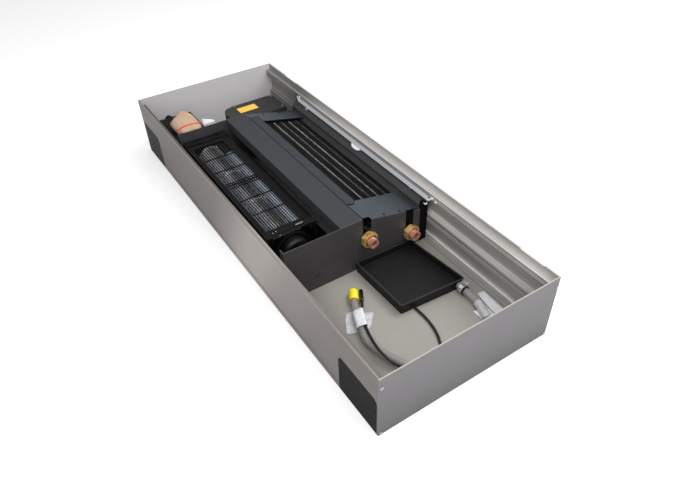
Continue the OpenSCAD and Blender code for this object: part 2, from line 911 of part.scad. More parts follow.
// hexagon nut with rounded corners, captive behind the collar of its stub
module union_nut(b, z) {
    corner_r = nut_af / 2 / cos(30);
    chamfer = corner_r - nut_af / 2;
    color("#c9a15a")
        translate([ax(nut_a0), by(b), z])
            rotate([0, 90, 0])
                difference() {
                    intersection() {
                        cylinder(r = corner_r, h = nut_l, $fn = 6);
                        rotate_extrude()
                            polygon([
                                [0, 0], [nut_af / 2, 0], [corner_r, chamfer / 2],
                                [corner_r, nut_l - chamfer / 2], [nut_af / 2, nut_l], [0, nut_l]
                            ]);
                    }
                    translate([0, 0, -1])
                        cylinder(r = stub_body_d / 2 + RUN, h = nut_l + 2);
                    translate([0, 0, nut_lip])
                        cylinder(r = collar_d / 2 + 0.6, h = nut_l);
                }
}
module flow_nut() {
    union_nut(flow_b, flow_z);
}
module return_nut() {
    union_nut(return_b, return_z);
}

/* ---- fan ---- */

fan_inner_l = fan_near_a - fan_end_a;
scroll_r0 = fan_r + scroll_gap;
scroll_r1 = fan_z - outlet_z;
// inner face of the scroll, from the front rail round the impeller to the outlet
function scroll_path() = concat(
    [[guard_b0 + 1.6, guard_z - rail_sheet - 1.3], [fan_b - scroll_r0 - 3, fan_z + 22]],
    [for (i = [0 : 14])
        let (w = 180 + 90 * i / 14)
        let (r = scroll_r0 + (scroll_r1 - scroll_r0) * i / 14)
        [fan_b + r * cos(w), fan_z + r * sin(w)]],
    [[outlet_b, outlet_z - 2]]
);
module fan_scroll() {
    color("#222326")
        along(fan_end_a, fan_inner_l)
            polygon(ribbon(scroll_path(), -scroll_t));
}
// outer face of the tongue, from the rear rail over its nose to the outlet
tongue_nose = [
    [30, 0], [23, -0.8], [19.2, -2.4], [17.4, -4.1], [20.4, -6.4], [25.4, -9.4], [34, -11.4], [65, -11.4]
];
tongue_path = concat(
    [[rear_rail_b1 - rail_sheet, tongue_z]],
    [for (p = tongue_nose) [fan_b + p[0], tongue_z + p[1]]]
);
module vortex_tongue() {
    color("#3a424d")
        along(tongue_a0, fan_near_a - tongue_a0)
            polygon(ribbon(tongue_path, tongue_t));
}
module front_fan_rail() {
    color("#2b2d31")
        along(fan_end_a, fan_inner_l)
            polygon(ribbon([
                [front_rail_b + 13, floor_z],
                [front_rail_b, floor_z],
                [front_rail_b, rail_top_z],
                [guard_b0, rail_top_z],
                [guard_b0, guard_z],
                [guard_b0 + 2.8, guard_z]
            ], -rail_sheet));
}
module rear_fan_rail() {
    leg_z = tongue_path[8][1] + tongue_t;
    color("#2b2d31")
        along(fan_end_a, fan_inner_l)
            polygon(ribbon([
                [guard_b1 - 2.8, guard_z],
                [guard_b1, guard_z],
                [guard_b1, rail_top_z],
                [rear_rail_b1, rail_top_z],
                [rear_rail_b1, leg_z]
            ], -rail_sheet));
}
// moulded end of the fan: side = 1 faces the near end
module fan_end_shell(a, side, shelf_l, hole_r, ring_space) {
    plate_a = side > 0 ? a : a - fan_end_t;
    shelf_a = side > 0 ? a + fan_end_t : a - fan_end_t - shelf_l;
    b0 = front_rail_b;
    w = fan_end_b1 - front_rail_b;
    top = rail_top_z + 2;
    hem = 5;
    boss_bs = [b0 + fan_boss_inset, b0 + w - fan_boss_inset];
    window_w = 28;
    window_h = 14;
    recess_b = 16;
    difference() {
        union() {
            along(plate_a, fan_end_t)
                translate([b0, floor_z])
                    square([w, top - floor_z]);
            along(shelf_a - EPS, shelf_l + 2 * EPS) {
                translate([b0, top - hem])
                    square([w, hem]);
                for (b = [b0, b0 + w - fan_end_t])
                    translate([b, floor_z])
                        square([fan_end_t, top - floor_z]);
            }
            for (b = boss_bs)
                bar_x(shelf_a, b, top - fan_boss_drop, hem, shelf_l);
        }
        along_fan(plate_a - 1, fan_end_t + 2)
            circle(r = hole_r);
        along_fan(shelf_a, shelf_l + 1)
            circle(r = ring_space);
        for (b = boss_bs)
            bar_x(shelf_a - 1, b, top - fan_boss_drop, screw_d / 2, shelf_l + fan_end_t - 1);
        along(plate_a - 1, fan_end_t + 2)
            translate([b0 + w - window_w - fan_end_t - 2, floor_z + fan_end_t])
                square([window_w, window_h]);
        translate([ax(shelf_a + 3), by(b0 + recess_b), top - hem / 2])
            cube([shelf_l - 6, w - 2 * recess_b, hem]);
    }
}
module far_fan_end() {
    color("#26272a") {
        fan_end_shell(fan_end_a, -1, far_shelf_l, bearing_ring_d / 2 + RUN, bearing_ring_d / 2);
        along(fan_end_a - EPS, tongue_a0 - fan_end_a + EPS)
            polygon(tongue_path_block());
    }
}
function tongue_path_block() = concat(
    [for (i = [0 : 7]) tongue_path[i]],
    [[rear_rail_b1 - rail_sheet, tongue_path[7][1]]]
);
module near_fan_end() {
    rib_n = 11;
    rib_pitch = 5;
    rib_b0 = front_rail_b + 15;
    rib_h = 3.5;
    color("#26272a") {
        fan_end_shell(fan_near_a, 1, near_shelf_l, motor_shaft_d / 2 + 6, motor_ring_d / 2 + GAP);
        for (i = [0 : rib_n - 1])
            translate([ax(fan_near_a + fan_end_t + near_shelf_l - EPS), by(rib_b0 + i * rib_pitch),
                       rail_top_z + 2 - rib_h])
                cube([3, rib_pitch / 2, rib_h]);
    }
}
// guard of one half of the fan: an end strip at end_x and low crossbars under the long bars
guard_l = fan_inner_l / 2 - GAP;
cross_w = 1.6;
crossbars = [0.39, 0.68, 0.954];
module guard(a, end_x, end_w, cross_xs) {
    w = guard_b1 - guard_b0 - 2 * GAP;
    side_w = 2.4;
    pitch = (w - 2 * side_w) / (bar_count + 1);
    color("#2a2e33")
        translate([ax(a), by(guard_b0 + GAP), guard_z]) {
            for (y = [0, w - side_w])
                translate([0, y, 0])
                    cube([guard_l, side_w, guard_h]);
            for (i = [1 : bar_count])
                translate([0, side_w + i * pitch - bar_w / 2, guard_h / 3])
                    cube([guard_l, bar_w, guard_h * 2 / 3]);
            translate([end_x, 0, 0])
                cube([end_w, w, guard_h]);
            for (x = cross_xs)
                translate([x, 0, 0])
                    cube([cross_w, w, guard_h * 2 / 3]);
        }
}
module far_guard() {
    end_w = 14;
    guard(fan_end_a + GAP / 2, 0, end_w, concat([for (c = crossbars) c * guard_l], [guard_l - cross_w]));
}
module near_guard() {
    end_w = 12;
    guard(fan_near_a - GAP / 2 - guard_l, guard_l - end_w, end_w,
          concat([for (c = crossbars) (1 - c) * guard_l], [0]));
}
function blade(r0, r1, n = 4) = [
    for (i = [0 : n])
        let (s = i / n, r = r0 + (r1 - r0) * s, w = 12 * s * s)
        [r * cos(w), r * sin(w)]
];
module impeller() {
    hub_l = 6;
    hub_r = 9;
    blade_r0 = fan_r - 6;
    l = section_n * section_l;
    color("#8b8d90")
        difference() {
            union() {
                along_fan(disc_a0 + disc_t / 2, l)
                    for (i = [0 : blade_count - 1])
                        rotate(i * 360 / blade_count)
                            polygon(ribbon(blade(blade_r0, fan_r - 0.4), blade_t));
                for (i = [0 : section_n])
                    along_fan(disc_a0 + i * section_l, disc_t)
                        circle(r = fan_r);
                along_fan(disc_a0 - hub_l, hub_l + EPS)
                    circle(r = hub_r);
                along_fan(disc_a0 + l + disc_t - EPS, hub_l)
                    circle(r = hub_r);
            }
            along_fan(disc_a0 - hub_l - 1, hub_l + disc_t + 2)
                circle(d = shaft_d + 2 * RUN);
            for (i = [1 : section_n - 1])
                along_fan(disc_a0 + i * section_l - 1, disc_t + 2)
                    circle(d = shaft_d);
            along_fan(disc_a0 + l - 1, hub_l + disc_t + 2)
                circle(d = motor_shaft_d + 2 * RUN);
        }
}
module fan_shaft() {
    color("#b9bbbe")
        along_fan(disc_a0 - 24, 26)
            circle(d = shaft_d);
}
module fan_bearing() {
    color("#9c8350")
        along_fan(fan_end_a - fan_end_t / 2 - bearing_l / 2, bearing_l)
            difference() {
                circle(d = bearing_d);
                circle(d = shaft_d + 2 * RUN);
            }
}
module bearing_ring() {
    color("#1b1b1d")
        along_fan(fan_end_a - fan_end_t - 1, fan_end_t + 2)
            difference() {
                circle(d = bearing_ring_d);
                circle(d = bearing_d + 2 * RUN);
            }
}
module motor_housing() {
    wall = 3;
    edge = 2;
    crown = 6;
    r = motor_d / 2;
    flat_r = r - 9;
    color("#202124")
        translate([ax(motor_a0), by(fan_b), fan_z])
            rotate([0, 90, 0])
                rotate_extrude()
                    polygon([
                        [motor_shaft_d / 2 + RUN, 0], [r - edge, 0], [r, edge], [r, motor_l - crown],
                        [r - wall - 1, motor_l - crown / 4], [flat_r, motor_l], [0, motor_l],
                        [0, motor_l - wall], [flat_r, motor_l - wall],
                        [r - wall, motor_l - wall - crown + 1], [r - wall, wall],
                        [motor_shaft_d / 2 + RUN, wall]
                    ]);
}
// ring on the fan's end and three arms that hold the motor
module motor_bracket() {
    r1 = motor_ring_d / 2;
    arm_w = 10;
    arm_l = 8;
    arm_turn = -30;
    color("#1e1f21") {
        along_fan(fan_near_a + fan_end_t, motor_ring_l)
            ring_shape(r1, r1 - motor_ring_t);
        along_fan(motor_a0 + 2, arm_l)
            for (w = [0, 120, 240])
                rotate(w + arm_turn)
                    translate([motor_d / 2 + RUN, -arm_w / 2])
                        square([r1 - motor_ring_t - motor_d / 2 + 0.6, arm_w]);
    }
}
module motor_rotor() {
    shaft_a = disc_a0 + section_n * section_l + disc_t;
    color("#77797c")
        union() {
            along_fan(shaft_a, motor_a0 + 6 - shaft_a)
                circle(d = motor_shaft_d);
            along_fan(motor_a0 + 5, motor_l - 14)
                circle(r = motor_d / 2 - 8);
        }
}

/* ---- electrical side ---- */

// box with two rounded corners towards the far end
module case_outline(l, w, r) {
    translate([r, r])
        circle(r = r);
    translate([r, w - r])
        circle(r = r);
    translate([0, r])
        square([r + EPS, w - 2 * r]);
    translate([r, 0])
        square([l - r, w]);
}
module open_case(a, b, l, w, h, r) {
    translate([ax(a), by(b), floor_z])
        difference() {
            linear_extrude(h) case_outline(l, w, r);
            translate([case_t, case_t, case_t])
                linear_extrude(h) case_outline(l - 2 * case_t, w - 2 * case_t, r - case_t);
        }
}
control_w = control_b1 - control_b0;
module control_box() {
    color("#2a2b2d")
        open_case(control_a0, control_b0, control_l, control_w, control_h - control_lid_h, control_r);
}
// lid that slopes down towards the fan side
module control_lid() {
    z0 = floor_z + control_h - control_lid_h;
    z1 = floor_z + control_h;
    color("#313235")
        intersection() {
            along(control_a0, control_l)
                polygon([
                    [control_b0, z0], [control_b1, z0], [control_b1, z1],
                    [control_b0 + control_lid_step, z1], [control_b0, z0 + 2.5]
                ]);
            translate([ax(control_a0), by(control_b0), z0])
                linear_extrude(control_lid_h) case_outline(control_l, control_w, control_r);
        }
}
module control_sticker() {
    color("#f2b71f")
        translate([ax(control_a0 + sticker_inset), by(control_b0 + sticker_edge), floor_z + control_h])
            cube([sticker_l, sticker_w, sticker_t]);
}
terminal_l = terminal_a1 - terminal_a0;
terminal_w = terminal_b1 - terminal_b0;
module terminal_box() {
    color("#232426")
        open_case(terminal_a0, terminal_b0, terminal_l, terminal_w, terminal_h - terminal_lid_h, 5);
}
module terminal_lid() {
    color("#1f2022")
        translate([ax(terminal_a0), by(terminal_b0), floor_z + terminal_h - terminal_lid_h])
            linear_extrude(terminal_lid_h) case_outline(terminal_l, terminal_w, 5);
}
module case_screws() {
    head_h = 1.6;
    far_a = control_a0 + case_screw_inset;
    near_a = control_a1 - case_screw_inset;
    inset = terminal_a1 - case_screw_inset;
    color("#7d7f82") {
        for (p = [[far_a, control_b0 + control_lid_step + 2], [far_a, control_b1 - case_screw_inset],
                  [near_a, control_b1 - case_screw_inset]])
            translate([ax(p[0]), by(p[1]), floor_z + control_h])
                cylinder(d = case_screw_d - 1, h = head_h, $fn = 32);
        for (b = [terminal_b0 + case_screw_inset, terminal_b1 - case_screw_inset])
            translate([ax(inset), by(b), floor_z + terminal_h])
                cylinder(d = case_screw_d, h = head_h, $fn = 32);
    }
}

/* ---- condensate and loose lines ---- */

module tray_block(r, h, grow = 0) {
    hull()
        for (i = [0 : 3])
            translate(flat(in_bay(tray_corners[i])) + tray_r * tray_inwards[i])
                cylinder(r = r + grow, h = h, $fn = 32);
}
// walls carried down to the floor, open where the cable runs through
module tray_skirt() {
    skirt_h = tray_foot_h - tray_skirt_lift;
    translate([0, 0, floor_z + tray_skirt_lift])
        difference() {
            tray_block(tray_r, skirt_h + EPS);
            translate([0, 0, -1])
                tray_block(tray_r - tray_t, skirt_h + 2);
            translate([ax(near_bulkhead_a), by(cable_b) - cable_passage / 2, -1])
                cube([bay_l, cable_passage, skirt_h + 1]);
        }
}
module drip_tray() {
    foot_r = 4;
    foot_inset = 12;
    color("#232425")
        difference() {
            union() {
                translate([0, 0, tray_floor_z])
                    difference() {
                        union() {
                            tray_block(tray_r, tray_h - tray_foot_h);
                            translate([0, 0, tray_h - tray_foot_h - 2])
                                tray_block(tray_r, 2, 0.8);
                        }
                        translate([0, 0, tray_t])
                            tray_block(tray_r - tray_t, tray_h);
                    }
                tray_skirt();
                for (i = [0 : 3])
                    translate(flat(in_bay(tray_corners[i])) + foot_inset * tray_inwards[i])
                        translate([0, 0, floor_z])
                            cylinder(r = foot_r, h = tray_foot_h + EPS, $fn = 32);
                bar_x(spigot_a0, spigot_b, spigot_z, spigot_d / 2, spigot_l);
            }
            bar_x(spigot_a0 - 4, spigot_b, spigot_z, spigot_bore_d / 2, spigot_l + 5);
        }
}
// band round the hose with a worm box and its hexagon screw
module hose_clamp() {
    r = hose_d / 2 + 0.15;
    band = 0.8;
    box_w = 12;
    box_h = 6.5;
    box_l = clamp_w - 1;
    box_turn = 160;
    worm_r = 3.2;
    color("#c9cbcd")
        translate([ax(clamp_a), by(spigot_b), spigot_z])
            rotate([0, 90, 0]) {
                difference() {
                    cylinder(r = r + band, h = clamp_w);
                    translate([0, 0, -1])
                        cylinder(r = r, h = clamp_w + 2);
                }
                rotate([0, 0, box_turn])
                    translate([r + band / 2, -box_w / 2, (clamp_w - box_l) / 2]) {
                        difference() {
                            cube([box_h, box_w, box_l]);
                            translate([-1, -1, box_l * 0.15])
                                cube([1 + 1.5 * band, box_w + 2, box_l * 0.7]);
                        }
                        translate([box_h / 2, -worm_r, box_l / 2])
                            rotate([-90, 0, 0])
                                cylinder(r = worm_r, h = worm_r + 0.1, $fn = 6);
                    }
            }
}

// round tube along the points of a route
function tangent(p, i) = unit(p[min(i + 1, len(p) - 1)] - p[max(i - 1, 0)]);
function ring(c, d, r, sides) =
    let (side = unit(cross([0, 0, 1], d)), up = cross(d, side))
    [for (k = [0 : sides - 1])
        let (w = 360 * k / sides)
        c + r * (cos(w) * side - sin(w) * up)];
function tube_points(p, r, sides) =
    [for (i = [0 : len(p) - 1]) each ring(p[i], tangent(p, i), r, sides)];
function skin_faces(rings, sides, base, flip) = [
    for (i = [0 : rings - 2], k = [0 : sides - 1])
        let (a = base + i * sides + k, b = base + i * sides + (k + 1) % sides)
        let (f = [a, b, b + sides, a + sides])
        each flip ? [[f[0], f[1], f[2]], [f[0], f[2], f[3]]] : [[f[2], f[1], f[0]], [f[3], f[2], f[0]]]
];
function end_faces(from, to, sides, flip) = [
    for (k = [0 : sides - 1])
        let (n = (k + 1) % sides)
        let (f = [from + k, from + n, to + n, to + k])
        each flip ? [[f[0], f[1], f[2]], [f[0], f[2], f[3]]] : [[f[2], f[1], f[0]], [f[3], f[2], f[0]]]
];
// hollow tube: outer skin, inner skin and the two ring-shaped ends
module hollow_tube(p, r, bore_r, sides) {
    n = len(p);
    inner = n * sides;
    polyhedron(
        points = concat(tube_points(p, r, sides), tube_points(p, bore_r, sides)),
        faces = concat(
            skin_faces(n, sides, 0, true),
            skin_faces(n, sides, inner, false),
            end_faces(0, inner, sides, false),
            end_faces((n - 1) * sides, inner + (n - 1) * sides, sides, true)
        )
    );
}
// solid tube closed by two flat ends
module solid_tube(p, r, sides) {
    n = len(p);
    polyhedron(
        points = tube_points(p, r, sides),
        faces = concat(
            skin_faces(n, sides, 0, true),
            [[for (k = [sides - 1 : -1 : 0]) k]],
            [[for (k = [0 : sides - 1]) (n - 1) * sides + k]]
        )
    );
}
hose_line = [for (p = hose_route) in_bay(p)];
cable_line = [for (p = cable_route) in_bay(p)];
module condensate_hose() {
    color("#b9bab6", 0.6)
        hollow_tube(hose_line, hose_d / 2, hose_d / 2 - hose_wall, 10);
}
module hose_cap() {
    c = in_bay(last(hose_route));
    color("#f0d400")
        translate(c)
            rotate([0, 0, cap_turn])
                rotate([0, 90, 0])
                    difference() {
                        translate([0, 0, -cap_l + 2 * cap_wall])
                            cylinder(d = cap_d, h = cap_l - cap_wall + GAP);
                        translate([0, 0, -cap_l])
                            cylinder(d = cap_d - 2 * cap_wall, h = cap_l + GAP);
                    }
}
module sensor_cable() {
    color("#161617")
        solid_tube(cable_line, cable_d / 2, 8);
}
module sensor_head() {
    from = in_bay(head_from);
    to = in_bay(head_to);
    l = norm(to - from);
    turn = atan2(to[1] - from[1], to[0] - from[0]);
    dip = acos((to[2] - from[2]) / l);
    neck = 9;
    color("#1a191b")
        translate(from)
            rotate([0, dip, turn]) {
                translate([0, 0, GAP / 3])
                    cylinder(d1 = cable_d, d2 = head_d, h = neck - GAP / 3);
                translate([0, 0, neck - EPS])
                    cylinder(d = head_d, h = l - neck - head_d / 2);
                translate([0, 0, l - head_d / 2])
                    sphere(d = head_d);
            }
}
// edging of the cable's opening, open towards the floor
module cable_grommet() {
    color("#18181a")
        along(near_bulkhead_a - sheet_t, sheet_t)
            intersection() {
                difference() {
                    cable_arch(cable_d + 2 * grommet_t, cable_d);
                    cable_arch(cable_d + GAP, 2 * cable_d);
                }
                translate([cable_b - cable_d, floor_z + GAP / 3])
                    square([2 * cable_d, 2 * cable_d]);
            }
}
module wrap_outline(grow) {
    hull() {
        translate([0, hose_z])
            circle(r = hose_d / 2 + grow, $fn = 32);
        translate(cable_offset)
            circle(r = cable_d / 2 + grow, $fn = 24);
    }
}
module wrap_label() {
    flag_z = floor_z + wrap_lift;
    color("#dfe3e6") {
        translate(in_bay(wrap_place))
            rotate([0, 0, wrap_angle])
                rotate([90, 0, 90])
                    linear_extrude(wrap_l)
                        intersection() {
                            difference() {
                                wrap_outline(wrap_clear + wrap_t);
                                wrap_outline(wrap_clear);
                            }
                            translate([-30, flag_z])
                                square([60, 40]);
                        }
        translate(in_bay(wrap_place) + [0, 0, flag_z])
            rotate([0, 0, wrap_angle])
                linear_extrude(wrap_t)
                    for (flag = wrap_flags)
                        polygon(flag);
    }
}
module floor_labels() {
    color("#d9dbdd")
        for (corners = label_corners)
            translate([0, 0, floor_z])
                linear_extrude(sticker_t)
                    polygon([for (p = corners) flat(in_bay(p))]);
}

/* ---- supplied loose parts ---- */

// soft paper packet, one end folded off at a slant, its sides bulging to the waist
module packet_outline(share, grow) {
    offset(delta = grow)
        scale(share)
            polygon(packet_corners);
}
module packet_place() {
    translate([ax(packet_a), by(packet_b), floor_z + terminal_h + 2 * GAP + band_gap + band_t])
        children();
}
module packet_solid(grow = 0) {
    hull() {
        translate([0, 0, -grow])
            linear_extrude(EPS) packet_outline(packet_low, grow);
        translate([0, 0, packet_h * packet_waist - 0.5])
            linear_extrude(1) packet_outline(1, grow);
        translate([0, 0, packet_h + grow - EPS])
            linear_extrude(EPS) packet_outline(packet_high, grow);
    }
}
module accessory_packet() {
    color("#c9a27e")
        packet_place() packet_solid();
}
module packet_band() {
    color("#c8453c")
        packet_place()
            intersection() {
                difference() {
                    packet_solid(band_gap + band_t);
                    packet_solid(band_gap);
                }
                translate([band_x, -50, -packet_h])
                    cube([band_w, 100, 3 * packet_h]);
            }
}
// sheets folded into a wedge that leans on the terminal box
module folded_paper() {
    color("#dcdcdc")
        translate([ax(paper_a), by(terminal_b1 + GAP), floor_z])
            hull() {
                linear_extrude(EPS) polygon(paper_foot);
                translate([0, 0, paper_h])
                    linear_extrude(EPS) polygon(paper_rim);
            }
}

front_wall();
rear_wall();
near_end_panel();
far_end_panel();
floor_pan();
end_panel_screws();
entry_cover(near_entry_a);  // near_entry_cover
entry_cover(far_entry_a);  // far_entry_cover
near_bulkhead();
far_bulkhead();
centre_cover();
strip_cover();
near_exchanger_cover();
far_exchanger_cover();
cover_screws();
exchanger_side();
baffle();
baffle_rail();
rail_screws();
fin_pack();
exchanger_end_plates();
exchanger_tubes();
return_bends();
flow_stub();
return_stub();
flow_nut();
return_nut();
fan_scroll();
vortex_tongue();
front_fan_rail();
rear_fan_rail();
far_fan_end();
near_fan_end();
far_guard();
near_guard();
impeller();
fan_shaft();
fan_bearing();
bearing_ring();
motor_housing();
motor_bracket();
motor_rotor();
control_box();
control_lid();
control_sticker();
terminal_box();
terminal_lid();
case_screws();
drip_tray();
hose_clamp();
condensate_hose();
hose_cap();
sensor_cable();
sensor_head();
cable_grommet();
wrap_label();
floor_labels();
accessory_packet();
packet_band();
folded_paper();
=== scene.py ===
import math

import bmesh
import bpy
from mathutils import Matrix, Vector, noise
from mathutils.bvhtree import BVHTree


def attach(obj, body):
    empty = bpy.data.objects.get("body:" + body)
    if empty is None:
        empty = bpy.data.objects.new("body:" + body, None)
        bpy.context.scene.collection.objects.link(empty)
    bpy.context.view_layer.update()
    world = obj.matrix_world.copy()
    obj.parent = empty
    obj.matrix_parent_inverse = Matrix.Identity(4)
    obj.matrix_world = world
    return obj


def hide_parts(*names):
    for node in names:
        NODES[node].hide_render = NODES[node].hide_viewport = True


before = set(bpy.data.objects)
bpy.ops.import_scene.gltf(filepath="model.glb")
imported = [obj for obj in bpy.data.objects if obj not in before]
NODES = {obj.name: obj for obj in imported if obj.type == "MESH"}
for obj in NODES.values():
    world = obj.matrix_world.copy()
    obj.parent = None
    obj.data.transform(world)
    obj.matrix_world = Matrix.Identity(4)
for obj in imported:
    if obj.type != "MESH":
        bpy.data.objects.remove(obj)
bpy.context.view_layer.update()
MM = 0.001

# ---- places, in millimetres from the far end (a), the front face (b) and the ground (z) ----

TRENCH_LENGTH = 1000.0
TRENCH_WIDTH = 360.0
TRENCH_HEIGHT = 138.0
NEAR_BULKHEAD = 678.0
WINDOW_SEAT = 346.0
FLOOR_TOP = 2.5
AXIS_START = {"X": TRENCH_LENGTH / 2, "Y": TRENCH_WIDTH / 2, "Z": 0.0}


def spot(a, b, z):
    """Point of the shared frame, in metres, for a place in the trench."""
    return Vector((a - TRENCH_LENGTH / 2, b - TRENCH_WIDTH / 2, z)) * MM


def bay_spot(p):
    """The same for a place in the connection bay, from its bulkhead and the window-side seat."""
    return spot(NEAR_BULKHEAD + p[0], WINDOW_SEAT - p[1], p[2])


def linked(name, data):
    made = bpy.data.objects.new(name, data)
    bpy.context.scene.collection.objects.link(made)
    return made


# ---- camera ----

LENS_LENGTH = 30.91
CAMERA_PLACE = (0.9016, -0.4794, 0.8117)
CAMERA_RIGHT = Vector((0.553091, 0.832916, -0.018465))
CAMERA_UP = Vector((-0.540199, 0.375412, 0.753161))
CAMERA_BACK = Vector((0.634252, -0.406592, 0.657577))


def set_camera():
    data = bpy.data.cameras.new("photo_camera")
    data.sensor_width = 36.0
    data.lens = LENS_LENGTH
    data.clip_start = 0.01
    data.clip_end = 50.0
    camera = linked("photo_camera", data)
    turn = Matrix((CAMERA_RIGHT, CAMERA_UP, CAMERA_BACK)).transposed().to_4x4()
    camera.matrix_world = Matrix.Translation(CAMERA_PLACE) @ turn
    bpy.context.scene.camera = camera


# ---- finishes ----

DISPLAY_GAMMA = 2.2
MIX_FIRST, MIX_SECOND, MIX_RESULT = 6, 7, 2  # the colour sockets of a Mix node
CLOUD_LOW, CLOUD_HIGH = 0.3, 0.7  # the levels between which most of a cloud pattern lies
EDGE_SAMPLES = 4
EDGE_FROM, EDGE_FULL = 0.98, 0.8  # how far a softened normal agrees with the flat one
RELIEF_STRENGTH = 0.5
# width of the lighter edges, which are partly wear and partly painted highlight
EDGE_LIGHT_WIDTH = 0.0006
RIM_DEPTHS = (0.6, 0.2)  # under a piece's top, where its rim starts and is full
ROUGH_SPREAD = 0.06
ROUGH_CLOUD_SHARE = 0.37
HAZE_CLOUD_SHARE = 1.7


def tint(code):
    """Linear colour of a six-digit paint code."""
    channels = [int(code[i:i + 2], 16) / 255 for i in (0, 2, 4)]
    linear = [c / 12.92 if c <= 0.04045 else ((c + 0.055) / 1.055) ** 2.4 for c in channels]
    return (*linear, 1.0)


def scaled(colour, factor):
    return (*[min(c * factor, 1.0) for c in colour[:3]], 1.0)


class Finish:
    """One material, wired from patterns on the object's own coordinates."""

    def __init__(self, name):
        self.material = bpy.data.materials.new(name)
        self.material.use_nodes = True
        self.tree = self.material.node_tree
        self.shader = self.tree.nodes["Principled BSDF"]
        self.place = self.node("TexCoord").outputs["Object"]

    def node(self, kind, **inputs):
        made = self.tree.nodes.new("ShaderNode" + kind)
        for name, value in inputs.items():
            made.inputs[name.replace("_", " ")].default_value = value
        return made

    def link(self, source, target):
        self.tree.links.new(source, target)

    def feed(self, value, socket):
        """Sets a socket to a number or a colour, or links it to a pattern."""
        if isinstance(value, (float, tuple)):
            socket.default_value = value
        else:
            self.link(value, socket)

    def combined(self, operation, first, second):
        made = self.node("Math")
        made.operation = operation
        self.feed(first, made.inputs[0])
        self.feed(second, made.inputs[1])
        return made.outputs[0]

    def mapped(self, scale=(1, 1, 1), shift=(0, 0, 0)):
        made = self.node("Mapping", Scale=scale, Location=shift)
        self.link(self.place, made.inputs["Vector"])
        return made.outputs["Vector"]

    def axis(self, letter):
        made = self.node("SeparateXYZ")
        self.link(self.place, made.inputs["Vector"])
        return made.outputs[letter]

    def clouds(self, size, stretch=(1, 1, 1), detail=3.0):
        made = self.node("TexNoise", Scale=1.0 / size, Detail=detail)
        self.link(self.mapped(stretch), made.inputs["Vector"])
        return made.outputs["Fac"]

    def between(self, source, low, high, out_low=0.0, out_high=1.0):
        made = self.node("MapRange", From_Min=low, From_Max=high, To_Min=out_low,
                         To_Max=out_high)
        self.link(source, made.inputs["Value"])
        return made.outputs["Result"]

    def ranged(self, pattern, out_low=0.0, out_high=1.0):
        """A cloud pattern, drawn out over the whole of a range."""
        return self.between(pattern, CLOUD_LOW, CLOUD_HIGH, out_low, out_high)

    def rising(self, letter, low, high):
        """Climbs from 0 to 1 between two places along (X), across (Y) or up (Z) the trench."""
        start = AXIS_START[letter]
        return self.between(self.axis(letter), (low - start) * MM, (high - start) * MM)

    def blended(self, factor, first, second, way="MIX"):
        made = self.node("Mix")
        made.data_type = "RGBA"
        made.blend_type = way
        self.feed(factor, made.inputs["Factor"])
        self.feed(first, made.inputs[MIX_FIRST])
        self.feed(second, made.inputs[MIX_SECOND])
        return made.outputs[MIX_RESULT]

    def levels(self, letter, stops, lean=0.0):
        """Grey level that follows a place along the piece; lean shears it with height."""
        along = self.axis(letter)
        if lean:
            along = self.combined("ADD", along, self.combined("MULTIPLY", self.axis("Z"), lean))
        return self.graded(along, stops, AXIS_START[letter])

    def graded(self, along, stops, start=0.0):
        """Grey level between stops of (millimetres from the start, level)."""
        low, high = stops[0][0], stops[-1][0]
        ramp = self.node("ValToRGB")
        self.link(self.between(along, (low - start) * MM, (high - start) * MM),
                  ramp.inputs["Fac"])
        marks = ramp.color_ramp.elements
        marks.remove(marks[1])
        for place, level in stops:
            share = (place - low) / (high - low)
            mark = marks[0] if share == 0 else marks.new(share)
            mark.color = (*[level ** DISPLAY_GAMMA] * 3, 1.0)
        return ramp.outputs["Color"]

    def edges(self, width):
        """1 on the piece's sharp edges and 0 on its flats."""
        soft = self.node("Bevel", Radius=width)
        soft.samples = EDGE_SAMPLES
        flat = self.node("NewGeometry")
        meet = self.node("VectorMath")
        meet.operation = "DOT_PRODUCT"
        self.link(soft.outputs["Normal"], meet.inputs[0])
        self.link(flat.outputs["Normal"], meet.inputs[1])
        return self.between(meet.outputs["Value"], EDGE_FROM, EDGE_FULL)

    def colour(self, source):
        self.link(source, self.shader.inputs["Base Color"])

    def roughness(self, source):
        self.link(source, self.shader.inputs["Roughness"])

    def relief(self, source, depth):
        bump = self.node("Bump", Strength=RELIEF_STRENGTH, Distance=depth)
        self.link(source, bump.inputs["Height"])
        self.link(bump.outputs["Normal"], self.shader.inputs["Normal"])

    def set(self, **values):
        for name, value in values.items():
            self.shader.inputs[name.replace("_", " ")].default_value = value


